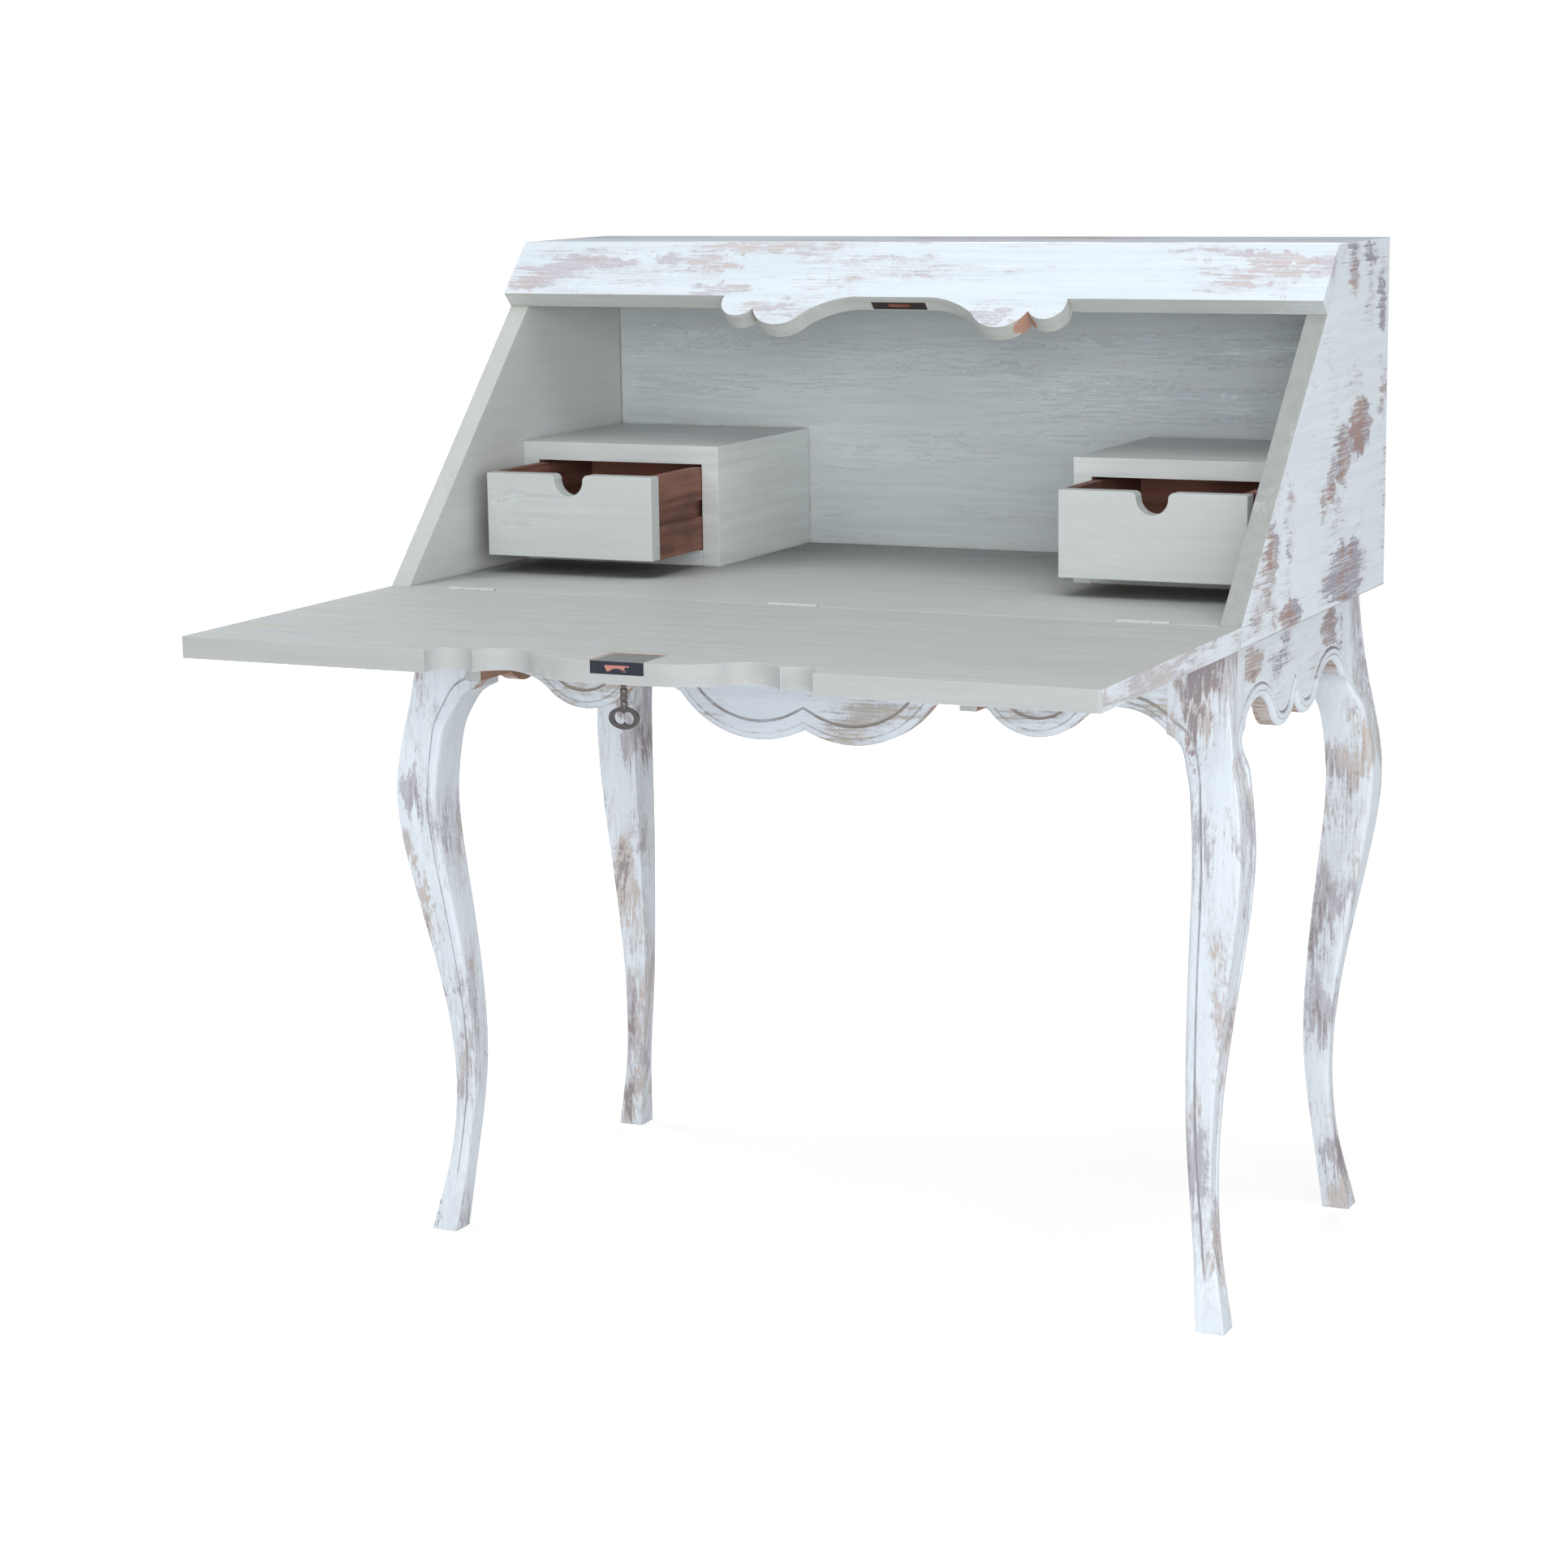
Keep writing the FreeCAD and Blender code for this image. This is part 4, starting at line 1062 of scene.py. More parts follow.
@dataclass
class Camera:
    """The eye in front of the desk, to its right and a little above it."""

    place: Triple = (1.4747, -3.2550, 1.1988)
    yaw: float = 0.4357
    pitch: float = 0.1872
    roll: float = -0.0140
    lens: float = 80.81
    sensor: float = 36.0
    clip: tuple[float, float] = (0.05, 60.0)

    def build(self) -> None:
        """Make the camera: it looks along +Y, turned by yaw, tipped down by pitch, then rolled."""
        ahead = Vector((-math.sin(self.yaw) * math.cos(self.pitch),
                        math.cos(self.yaw) * math.cos(self.pitch), -math.sin(self.pitch)))
        level = Vector((math.cos(self.yaw), math.sin(self.yaw), 0.0))
        above = level.cross(ahead)
        right = level * math.cos(self.roll) + above * math.sin(self.roll)
        up = above * math.cos(self.roll) - level * math.sin(self.roll)
        data = bpy.data.cameras.new("eye")
        data.lens, data.sensor_width, data.sensor_fit = self.lens, self.sensor, "HORIZONTAL"
        data.clip_start, data.clip_end = self.clip
        camera = bpy.data.objects.new("eye", data)
        camera.matrix_world = Matrix((
            (right.x, up.x, -ahead.x, self.place[0]), (right.y, up.y, -ahead.y, self.place[1]),
            (right.z, up.z, -ahead.z, self.place[2]), (0, 0, 0, 1)))
        bpy.context.scene.collection.objects.link(camera)
        bpy.context.scene.camera = camera


@dataclass(frozen=True)
class Lamp:
    """A square soft lamp.

    Attributes:
        name: its name.
        place: where it hangs.
        target: what it points at.
        size: its side.
        power: its power in watts.
    """

    name: str
    place: Triple
    target: Triple
    size: float
    power: float

    def build(self) -> None:
        """Hang the lamp."""
        data = bpy.data.lights.new(self.name, "AREA")
        data.shape, data.size, data.energy = "SQUARE", self.size, self.power
        lamp = bpy.data.objects.new(self.name, data)
        lamp.location = self.place
        way = Vector(self.target) - Vector(self.place)
        lamp.rotation_euler = way.to_track_quat("-Z", "Y").to_euler()
        bpy.context.scene.collection.objects.link(lamp)


@dataclass
class Studio:
    """A plain pale floor, an even pale surround and broad soft lamps."""

    floor_size: float = 40.0
    ambient: Colour = (0.96, 0.98, 1.0)
    ambient_strength: float = 0.16
    glow: float = 0.60
    fade: tuple[float, float] = (0.5, 2.6)
    lamps: tuple[Lamp, ...] = (
        Lamp("front", (1.5, -4.2, 1.3), (0.0, 0.1, 0.7), 2.0, 84.0),
        Lamp("right", (3.8, -0.4, 1.3), (0.0, 0.1, 0.7), 2.4, 30.0),
        Lamp("right_front", (3.2, -3.0, 1.2), (-0.1, 0.1, 0.75), 2.2, 46.0),
        Lamp("high_left", (-1.9, -3.0, 3.0), (0.0, 0.1, 0.7), 2.6, 44.0),
        Lamp("overhead", (0.3, -0.7, 3.4), (0.0, 0.0, 0.6), 2.2, 26.0),
        Lamp("left", (-4.0, 0.7, 1.6), (0.0, 0.1, 0.6), 2.4, 68.0),
        Lamp("behind", (-0.8, 4.4, 2.0), (0.0, 0.1, 0.6), 2.4, 75.0),
    )

    def build(self) -> None:
        """Make the floor, the surround and the lamps."""
        bpy.context.scene.view_settings.view_transform = "Standard"
        self.surround()
        self.floor()
        for lamp in self.lamps:
            lamp.build()

    def surround(self) -> None:
        """A world that is white to the eye, in gloss and through glass, and lights evenly."""
        world = bpy.data.worlds.new("surround")
        bpy.context.scene.world = world
        world.use_nodes = True
        graph = Graph(world.node_tree)
        world.node_tree.nodes.clear()
        ambient, plain = graph.node("Background"), graph.node("Background")
        graph.feed(ambient.inputs["Color"], self.ambient)
        graph.feed(ambient.inputs["Strength"], self.ambient_strength)
        graph.feed(plain.inputs["Color"], (1.0, 1.0, 1.0))
        both = graph.node("MixShader")
        graph.feed(both.inputs[0], graph.to_the_eye())
        graph.feed(both.inputs[1], ambient.outputs[0])
        graph.feed(both.inputs[2], plain.outputs[0])
        graph.feed(graph.node("OutputWorld").inputs["Surface"], both.outputs[0])

    def floor(self) -> None:
        """A flat floor that looks white but keeps the object's shadow."""
        half = self.floor_size / 2
        mesh = bpy.data.meshes.new("floor")
        mesh.from_pydata([(-half, -half, 0), (half, -half, 0), (half, half, 0), (-half, half, 0)],
                         [], [(0, 1, 2, 3)])
        floor = link("floor", mesh)
        material = bpy.data.materials.new("pale_floor")
        material.use_nodes = True
        graph = Graph(material.node_tree)
        material.node_tree.nodes.clear()
        matt = graph.node("BsdfDiffuse")
        place = graph.node("TexCoord").outputs["Object"]
        grit = graph.step(graph.noise(place, 3.0, 3.0), 0.3, 0.7)
        graph.feed(matt.inputs["Color"], graph.mix(grit, (0.60,) * 3, (0.62,) * 3))
        away = graph.vector("LENGTH", place)
        glow = graph.node("Emission")
        brightness = graph.step(away, *self.fade, self.glow, 1.0)
        graph.feed(glow.inputs["Strength"], graph.times(graph.to_the_eye(), brightness))
        both = graph.node("AddShader")
        graph.feed(both.inputs[0], matt.outputs[0])
        graph.feed(both.inputs[1], glow.outputs[0])
        graph.feed(graph.node("OutputMaterial").inputs["Surface"], both.outputs[0])
        mesh.materials.append(material)


# ---------------------------------------------------------------- table base


@dataclass
class Moulding:
    """The bead along the lower edges of the aprons and the inner edges of the legs.

    Attributes:
        width: from the edge to the groove.
        groove, depth: the groove's width and depth.
        field: how far the plain face lies back behind the bead.
        roll: the radius of the bead's outer arris.
        quirk, quirk_rows: the depth of the fine line, and where it starts, is deepest and ends,
            from the end of the roll.
        spread: how much wider the bead is in the middle of the front apron.
        roll_rows: the rows across the roll.
        groove_floor: where the groove's floor starts and ends, as shares of its width.
    """

    width: float = 12.5 * MM
    groove: float = 2.8 * MM
    depth: float = 3.4 * MM
    field: float = 1.8 * MM
    roll: float = 5.0 * MM
    quirk: float = 0.9 * MM
    quirk_rows: Triple = (1.3 * MM, 1.9 * MM, 2.5 * MM)
    spread: float = 6.5 * MM
    roll_rows: int = 5
    groove_floor: tuple[float, float] = (0.35, 0.65)

    def profile(self) -> list[tuple[float, float]]:
        """The moulding's section: a quarter round, the fine line, the groove and the plain face.

        Returns:
            Its rows, as (distance from the lower edge, depth).
        """
        rows = [(self.roll * (1 - math.cos(turn)), self.roll * (1 - math.sin(turn)))
                for turn in np.linspace(0, math.pi / 2, self.roll_rows)]
        rows += [(self.roll + away, deep)
                 for away, deep in zip(self.quirk_rows, (0.0, self.quirk, 0.0))]
        rows += [(self.width, 0.0)]
        rows += [(self.width + share * self.groove, self.depth) for share in self.groove_floor]
        return rows + [(self.width + self.groove, self.field)]


@dataclass
class TableBase:
    """Four cabriole legs, four aprons, the two lopers and their guides.

    Attributes:
        top, post, spring: the base's height, the legs' width at the top, and where they curve.
        outer, inner: a leg's two curves, as (out, up) in millimetres from its post's corner.
        front_edge, side_edge: half of an apron's lower edge from its middle outwards, as (along,
            up, bulge of the next arc) in millimetres.
        board: the aprons' thickness.
        leg_share: how wide the moulding is low on the legs, as a share of its width on the aprons.
        slim_from: the height from which the moulding widens up to its width on the aprons.
        run_in: where the bead's arris closes into the apron's bead, below and above the spring.
        quirk_mark: how much the fine line is darkened, as a share of the groove's darkening.
        seam, seam_depth: the line at the base's top, its height and how far it is let in.
        run_on: how far an apron's lower edge is worked out past its end.
        sections, dense: the sections of half an apron, and the points for finding its notch.
        widening: where the moulding stops widening, as shares of half an apron.
        backwards, downwards: how far a face is turned in to be an apron's back or underside.
        apron_crease, leg_crease: edges that turn more than this angle stay sharp.
        foot_fade: over which heights the moulding runs out above the floor.
        square_foot, square_knee: the heights over which the outer arris gets rounder above the
            floor, and sharp again below the post.
        blunt_arris, sharp_arris: the outer arris's largest extra radius and its least radius.
        rows_post, rows_up: the sections of a leg above and below the spring.
        bead_step: over which width of the bead its steps grow to their full depth.
        flush: how far below the spring the legs' faces leave the aprons' plane.
        worn_and_shaded_spots, apron_wear: the worn places of each leg's front and of the side
            aprons, with the lid's shadow painted on the front right leg's top.
    """

    workshop: Workshop
    moulding: Moulding = field(default_factory=Moulding)
    top: float = 694 * MM
    post: float = 61 * MM
    spring: float = 604 * MM
    outer: tuple[tuple[float, float], ...] = (
        (0.0, 694.0), (9.6, 600.0), (23.6, 500.0), (14.6, 400.0), (-2.7, 300.0), (-15.3, 180.0),
        (-9.6, 80.0), (4.6, 0.0))
    inner: tuple[tuple[float, float], ...] = (
        (-61.0, 604.0), (-50.5, 597.5), (-42.5, 584.0), (-35.5, 565.0), (-31.0, 538.0),
        (-28.0, 500.0), (-33.0, 400.0), (-41.0, 300.0), (-43.5, 180.0), (-34.0, 80.0), (-24.9, 0.0))
    front_edge: tuple[Triple, ...] = (
        (0.0, 584.0, -27.0), (139.5, 615.0, 9.0), (203.0, 615.0, -21.5), (297.0, 611.0, 19.0),
        (389.0, 604.0, 0.0))
    side_edge: tuple[Triple, ...] = (
        (0.0, 611.0, -24.0), (82.0, 607.5, 21.0), (173.0, 604.0, 0.0))
    board: float = 22 * MM
    leg_share: float = 0.75
    quirk_mark: float = 0.6
    seam: float = 1.4 * MM
    seam_depth: float = 2.5 * MM
    slim_from: float = 520 * MM
    run_in: tuple[float, float] = (16 * MM, 1 * MM)
    run_on: float = 30 * MM
    sections: int = 161
    dense: int = 2000
    widening: tuple[float, float] = (0.6, 0.97)
    backwards: float = 0.7
    downwards: tuple[float, float] = (-0.1, 0.3)
    apron_crease: float = 38.0
    leg_crease: float = 50.0
    rows_post: int = 26
    rows_up: int = 150
    foot_fade: tuple[float, float] = (15 * MM, 90 * MM)
    square_foot: tuple[float, float] = (-40 * MM, 200 * MM)
    square_knee: tuple[float, float] = (430 * MM, 640 * MM)
    blunt_arris: float = 1.8 * MM
    sharp_arris: float = 1.2 * MM
    bead_step: tuple[float, float] = (0.2 * MM, 2 * MM)
    flush: float = 40 * MM
    worn_and_shaded_spots: tuple[tuple[str, tuple[Spot, ...]], ...] = (
        ("leg_front_right", ((418, 652, 26, 28, 0.30), (424, 607, 17, 22, 0.28),
                             # The broad spot at (420, 680) darkens the leg's top under the lid: the
                             # lid's shadow, painted.
                             (420, 680, 44, 30, 0.10), (468, 585, 10, 26, 0.16),
                             (466, 522, 12, 40, 0.13), (444, 293, 9, 90, 0.12),
                             (440, 112, 8, 60, 0.14))),
        ("leg_back_right", ((436, 500, 36, 24, 0.17), (425, 441, 20, 14, 0.13),
                            (436, 352, 28, 36, 0.16), (416, 318, 10, 40, 0.20),
                            (430, 237, 26, 26, 0.15), (445, 77, 26, 28, 0.18),
                            (470, 527, 12, 30, 0.17), (466, 625, 14, 40, 0.15))),
        ("leg_front_left", ((-455, 640, 16, 30, 0.2), (-455, 495, 14, 30, 0.20),
                            (-462, 424, 12, 26, 0.18), (-450, 380, 14, 24, 0.17),
                            (-456, 328, 12, 26, 0.19), (-450, 266, 12, 24, 0.17),
                            (-447, 203, 14, 24, 0.17), (-455, 64, 14, 26, 0.2),
                            (-460, 16, 16, 14, 0.22))),
        ("leg_back_left", ((-440, 560, 18, 60, 0.2), (-430, 470, 14, 40, 0.18),
                           (-436, 330, 14, 50, 0.18), (-430, 150, 14, 50, 0.18),
                           (-440, 40, 14, 30, 0.2))))
    apron_wear: tuple[Spot, ...] = (
        (50, 664, 46, 26, 0.25), (165, 683, 42, 16, 0.17), (238, 672, 16, 16, 0.12),
        (318, 664, 34, 26, 0.26), (372, 660, 14, 30, 0.13))

    def build(self) -> None:
        """Make the base's pieces."""
        self.legs()
        self.aprons()
        self.lopers()

    @staticmethod
    def leg_white(name: str, seed: float, patches: tuple[Patch, ...]) -> Paint:
        """The white paint of a leg, with its streaks running down it.

        Args:
            name: the paint's name.
            seed: where its noise is read.
            patches: the leg's worn places.

        Returns:
            The paint.
        """
        return Paint(name, worn=(0.60, 0.54, 0.51), cool=(0.48, 0.47, 0.52),
                     bare=(0.33, 0.29, 0.31), wear=0.42, thin=0.55,
                     grain=Grain.UPRIGHT, cloud=(22.0, 22.0, 8.0), drag=0.10,
                     # Corners and the seam darken within 4 mm: painted shade, with soiling.
                     seed=(seed, 2.1 * seed, 0.0), edge=0.07, groove=0.12,
                     grime_and_shade=(0.46, 0.45, 0.47), grime_and_shade_reach=4 * MM, grime_and_shade_break=0.8,
                     patches=patches)

    @staticmethod
    def apron_line(edge: Sequence[Triple], extend: float) -> np.ndarray:
        """Half of an apron's lower edge: arcs from point to point, then a straight run on.

        Args:
            edge: (along, up, bulge of the next arc) in millimetres, from the middle outwards.
            extend: how far the line runs on, in metres, over PAST_END more points.

        Returns:
            The line in metres, n by 2.
        """
        runs = [arc_points(here[:2], there[:2], here[2])[:-1]
                for here, there in zip(edge[:-1], edge[1:])]
        line = np.concatenate([*runs, [edge[-1][:2]]]) * MM
        way = line[-1] - line[-2]
        way /= np.linalg.norm(way)
        beyond = line[-1] + way * np.linspace(0, extend, PAST_END + 1)[1:, None]
        return np.concatenate([line, beyond])

    def apron_loops(self, edge: Sequence[Triple],
                    notch: Triple | None) -> tuple[np.ndarray, np.ndarray]:
        """The sections of half an apron, from its middle outwards, as (along, up, depth).

        Each section is the moulding's profile, moved in from the lower edge along its normal,
        then the plain face up to the top, over the top and down the back. On the apron with the
        notches the moulding widens towards the middle.

        Args:
            edge: the lower edge in millimetres.
            notch: where a loper's notch starts and ends along, and its floor's height.

        Returns:
            An array of sections by points by 3, and how deep in the groove each point lies.
        """
        shape = self.moulding
        line = self.apron_line(edge, self.run_on)
        end = edge[-1][0] * MM
        profile = shape.profile()
        shares, dense = np.linspace(0, 1, self.sections), np.linspace(0, 1, self.dense)
        spread = shape.spread if notch else 0.0
        extra = spread * (1 - smooth_step(line[:, 0], *(end * share for share in self.widening)))

        def away_from_edge(away: float) -> np.ndarray:
            """The distance of a row from the lower edge, with the moulding's own widening."""
            return away + extra * float(smooth_step(away, shape.roll, shape.width))

        last_row = offset_line(line, away_from_edge(profile[-1][0]), True)
        if notch:
            reaches = resample(last_row, dense, end)[:, 0]
            walls = [float(np.interp(reach, reaches, dense)) for reach in notch[:2]]
            shares = np.sort(np.concatenate([shares, walls, walls]))
        rows = [resample(offset_line(line, away_from_edge(away), True), shares, end)
                for away, _ in profile]
        tops = np.full(len(shares), self.top)
        if notch:
            first = int(np.searchsorted(shares, walls[0])) + 1
            last = int(np.searchsorted(shares, walls[1])) + 1
            tops[first:last] = notch[2]
        along = rows[-1][:, 0]
        section = [np.stack([row[:, 0], row[:, 1], np.full(len(row), deep)], -1)
                   for row, (_, deep) in zip(rows, profile)]
        inset = shape.field + self.seam_depth
        upper = ((along, tops - self.seam, shape.field), (along, tops - self.seam, inset),
                 (along, tops, inset), (along, tops, self.board), (*rows[0].T, self.board))
        section += [np.stack([out, height, np.full(len(along), deep)], -1)
                    for out, height, deep in upper]
        loops = np.stack(section, 1)
        marks = np.zeros(loops.shape[:2])
        groove, quirk = slice(len(profile) - 3, len(profile) - 1), shape.roll_rows + 1
        marks[:, groove], marks[:, quirk] = 1.0, self.quirk_mark
        return loops, marks

    def apron_piece(self, node: str, edge: Sequence[Triple],
                    place: Callable[[np.ndarray], np.ndarray], finishes: Sequence[Finish],
                    notch: Triple | None = None) -> None:
        """An apron from its two mirrored halves.

        Args:
            node: the CAD node that it stands for.
            edge: the lower edge, from the middle outwards.
            place: turns (along, up, depth) into the row frame.
            finishes: the finish of the outside, of the back and of the underside.
            notch: a loper's notch, if it has one.
        """
        half, marks = self.apron_loops(edge, notch)
        other = half[:0:-1] * np.array([-1.0, 1.0, 1.0])
        loops = np.concatenate([other, half])
        piece = lofted(f"{node}_dressed", place(loops), np.concatenate([marks[:0:-1], marks]))
        inwards = Vector(place(np.array([0.0, 0.0, 1.0])) - place(np.zeros(3)))
        underside_top = self.top - 2 * self.post / 3
        for finish in finishes:
            piece.data.materials.append(finish.material())
        for face in piece.data.polygons:
            turned = face.normal.dot(inwards)
            level = self.downwards[0] < turned < self.downwards[1]
            underside = level and face.center.z < underside_top
            face.material_index = 1 if turned > self.backwards else 2 * underside
        set_creases(piece, self.apron_crease)
        self.workshop.seat(piece, node, Slot.WHITE)

    def aprons(self) -> None:
        """The front, side and back aprons."""
        bare = Timber("apron_back_wood", light=(0.40, 0.25, 0.18), dark=(0.25, 0.145, 0.105))
        below = Paint("apron_underside", worn=(0.62, 0.54, 0.48), cool=(0.58, 0.52, 0.48),
                      bare=(0.42, 0.25, 0.18), wear=0.66, cloud=(16.0, 16.0, 16.0), edge=0.0)
        loper_low, loper_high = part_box("loper_right")
        play = 0.3 * MM
        notch = (loper_low.x - play, loper_high.x + play, loper_low.z - play)
        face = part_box("apron_front")[0].y
        # Corners and the seam darken within 4 mm: painted shade, with soiling; arrises rub a
        # little.
        soiled_and_shaded = {"edge": 0.1, "grime_and_shade": (0.45, 0.41, 0.40), "grime_and_shade_reach": 4 * MM,
                  "grime_and_shade_break": 0.8}
        paint = Paint("apron_front_paint", worn=(0.58, 0.53, 0.46), cool=(0.47, 0.46, 0.44),
                      bare=(0.46, 0.41, 0.37), wear=0.41, cloud=(9.0, 20.0, 26.0),
                      seed=(3.0, 0.0, 1.0), groove=0.27, **soiled_and_shaded)
        self.apron_piece("apron_front", self.front_edge, lambda p: np.stack(
            [p[..., 0], face + p[..., 2], p[..., 1]], -1), (paint, bare, below), notch)
        low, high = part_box("apron_left")
        middle = (low.y + high.y) / 2
        for node, way in (("apron_left", -1.0), ("apron_right", 1.0)):
            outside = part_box(node)[1].x if way > 0 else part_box(node)[0].x
            paint = Paint(f"{node}_paint", bare=(0.36, 0.29, 0.28), wear=0.34, grain=Grain.DEEP,
                          cloud=(20.0, 10.0, 24.0), seed=(5.0 * way, 0.0, 2.0), drag=0.05,
                          groove=0.30, patches=placed_patches(0, outside, 1.0, self.apron_wear),
                          **soiled_and_shaded)
            self.apron_piece(node, self.side_edge, lambda p, w=way, o=outside: np.stack(
                [o - w * p[..., 2], middle + w * p[..., 0], p[..., 1]], -1), (paint, bare, below))
        plain = Paint("apron_back_paint", wear=0.41, seed=(9.0, 1.0, 0.0))
        self.workshop.board("apron_back", Slot.WHITE, (plain, bare), facing(FRONT))

    def leg_section(self) -> tuple[np.ndarray, np.ndarray]:
        """The sections of a leg from the top down, as (out along X, out along Y, up).

        Each section is a square between the inner and the outer curve at its height. Its outer
        corner is sharp at the post and roundest half way down, and each outer face carries the
        bead along its inner edge. Where the post meets the aprons the face comes back to the
        aprons' plane. The inner edge goes on into the lower edge of the apron, so that the bead
        is one. The first two sections are let in: they are the line under the case.

        Returns:
            An array of sections by points by 3, and how deep in the groove each point lies.
        """
        shape = self.moulding
        heights = np.concatenate([np.linspace(self.top, self.spring, self.rows_post)[:-1],
                                  np.linspace(self.spring, 0.0, self.rows_up)])
        outer_line, inner_line = (smooth_through(line, CURVE_POINTS) * MM
                                  for line in (self.outer, self.inner))
        outer = np.interp(heights, outer_line[::-1, 1], outer_line[::-1, 0])
        inner = np.where(heights > self.spring, -self.post,
                         np.interp(heights, inner_line[::-1, 1], inner_line[::-1, 0]))
        stub, apron_points = 1 * MM, 60
        apron = self.apron_line(self.front_edge, stub)
        shift = np.array([apron[-PAST_END - 1, 0] + self.post, 0.0])
        beyond = apron[::-1][PAST_END + 1:apron_points] - shift
        edge = np.concatenate([inner_line[::-1], beyond])
        band, trench = (
            self.across(offset_line(edge, -away, False), heights, inner)
            for away in (shape.width, shape.width + shape.groove))
        slim = self.leg_share + (1 - self.leg_share) * smooth_step(
            heights, self.slim_from, self.spring)
        band, trench = inner + (band - inner) * slim, inner + (trench - inner) * slim
        fade = smooth_step(heights, *self.foot_fade)
        depth = shape.depth * fade * smooth_step(band - inner, *self.bead_step)
        sunk = shape.field * fade
        into_apron = smooth_step(heights, self.spring - self.run_in[0],
                                 self.spring + self.run_in[1])
        open_roll = self.sharp_arris + (shape.roll - self.sharp_arris) * fade
        roll = open_roll * (1 - into_apron) + 0.05 * MM
        outer[:2] -= self.seam_depth
        heights[1:3] = heights[0] - self.seam
        below_knee = 1 - smooth_step(heights, *self.square_knee)
        corner = self.sharp_arris + self.blunt_arris * below_knee * smooth_step(
            heights, *self.square_foot)
        flush = smooth_step(heights, self.spring - self.flush, self.spring)
        return self.leg_loop(heights, outer, inner, band, trench, depth, sunk, roll, corner, flush)

    @staticmethod
    def across(line: np.ndarray, heights: np.ndarray, inner: np.ndarray) -> np.ndarray:
        """Where an offset of the inner edge lies at each height, never past the inner edge.

        Args:
            line: the moved edge, as (out, up) from the floor up.
            heights: the heights that are asked for.
            inner: the inner edge at these heights.

        Returns:
            Its distance out at each height.
        """
        rising = np.maximum.accumulate(line[:, 1])
        keep = np.concatenate([[True], np.diff(rising) > 1e-9])
        out = np.interp(heights, rising[keep], line[keep, 0])
        return np.maximum(np.where(heights > rising[-1], inner, out), inner)

    def leg_loop(self, heights: np.ndarray, outer: np.ndarray, inner: np.ndarray,
                 band: np.ndarray, trench: np.ndarray, depth: np.ndarray, sunk: np.ndarray,
                 roll: np.ndarray, corner: np.ndarray,
                 flush: np.ndarray) -> tuple[np.ndarray, np.ndarray]:
        """The loops of a leg: half a section, and its mirror image across the diagonal.

        Args:
            heights: the sections' heights.
            outer: the outer corner's distance out.
            inner: the inner faces' distance out.
            band: where the bead begins.
            trench: where the groove begins.
            depth: the groove's depth.
            sunk: how far the plain face lies back behind the bead.
            roll: the radius of the bead's inner arris.
            corner: the radius of the outer arris.
            flush: how far the face's inner edge is brought back to the post's plane.

        Returns:
            An array of sections by points by 3, and how deep in the groove each point lies.
        """
        plain, flat_end = outer - sunk, outer - sunk - corner
        proud = outer - sunk * (1 - smooth_step(band - inner, *self.bead_step))
        trench_floor = np.minimum(outer - depth, proud)
        bead_end = np.minimum(inner + roll, band)

        def face(out: np.ndarray, level: np.ndarray) -> tuple[np.ndarray, np.ndarray]:
            """A point of the outer face, brought back near its inner edge to the post's plane."""
            share = np.clip((outer - out) / (outer - inner), 0, 1)
            return out, level - (outer * flush) * share * share * (3 - 2 * share)

        points = [(flat_end + corner * math.cos(turn), flat_end + corner * math.sin(turn))
                  for turn in np.linspace(math.pi / 4, math.pi / 2, 4)]
        points += [face(flat_end * (1 - share) + trench * share, plain)
                   for share in (0.3, 0.6, 0.85)]
        points += [face(trench, plain)]
        groove = slice(len(points), len(points) + 2)
        points += [face(trench * share + band * (1 - share), trench_floor) for share in (0.6, 0.3)]
        points += [face(band, proud), face(bead_end * 0.5 + band * 0.5, proud)]
        points += [face(np.minimum(inner + roll * (1 - math.cos(turn)), band),
                        proud - roll * (1 - math.sin(turn)))
                   for turn in np.linspace(math.pi / 2, 0, 5)]
        points += [(inner, inner * 0.5 + (proud - roll) * 0.5 - outer * flush * 0.5),
                   (inner, inner)]
        first = np.stack([np.stack([p, q, heights], -1) for p, q in points], 1)
        second = first[:, -2:0:-1][:, :, [1, 0, 2]]
        marks = np.zeros(first.shape[:2])
        marks[:, groove] = (depth > 0.5 * MM)[:, None]
        return np.concatenate([first, second], 1), np.concatenate([marks, marks[:, -2:0:-1]], 1)

    def legs(self) -> None:
        """The four legs, alike but turned to their corners."""
        loops, marks = self.leg_section()
        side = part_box("apron_right")[1].x
        front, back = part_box("apron_front")[0].y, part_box("apron_back")[1].y
        for node, way_x, way_y, y, seed in (
                ("leg_front_left", -1, -1, front, 1.7), ("leg_front_right", 1, -1, front, 4.1),
                ("leg_back_left", -1, 1, back, 6.3), ("leg_back_right", 1, 1, back, 8.9)):
            placed = np.stack([way_x * (side + loops[..., 0]), y + way_y * loops[..., 1],
                               loops[..., 2]], -1)
            piece = lofted(f"{node}_dressed", placed, marks)
            worn = placed_patches(1, y, self.post * 2, dict(self.worn_and_shaded_spots)[node])
            piece.data.materials.append(self.leg_white(f"{node}_paint", seed, worn).material())
            set_creases(piece, self.leg_crease)
            self.workshop.seat(piece, node, Slot.WHITE)

    def lopers(self) -> None:
        """The slides that carry the lid, and the troughs that they run in."""
        bare = Timber("loper_wood", light=(0.36, 0.21, 0.15), dark=(0.22, 0.12, 0.085),
                      grain=Grain.DEEP)
        face = GreyPaint("loper_paint", grain=Grain.DEEP, cloud=(20.0, 8.0, 20.0))
        for side in ("left", "right"):
            self.workshop.board(f"loper_{side}", Slot.WHITE, (face, bare),
                                facing(BACK, -HALF_TURNED))
            self.workshop.board(f"loper_guide_{side}", Slot.WOOD, (bare,), arris=0.6 * MM)


# ---------------------------------------------------------------- case


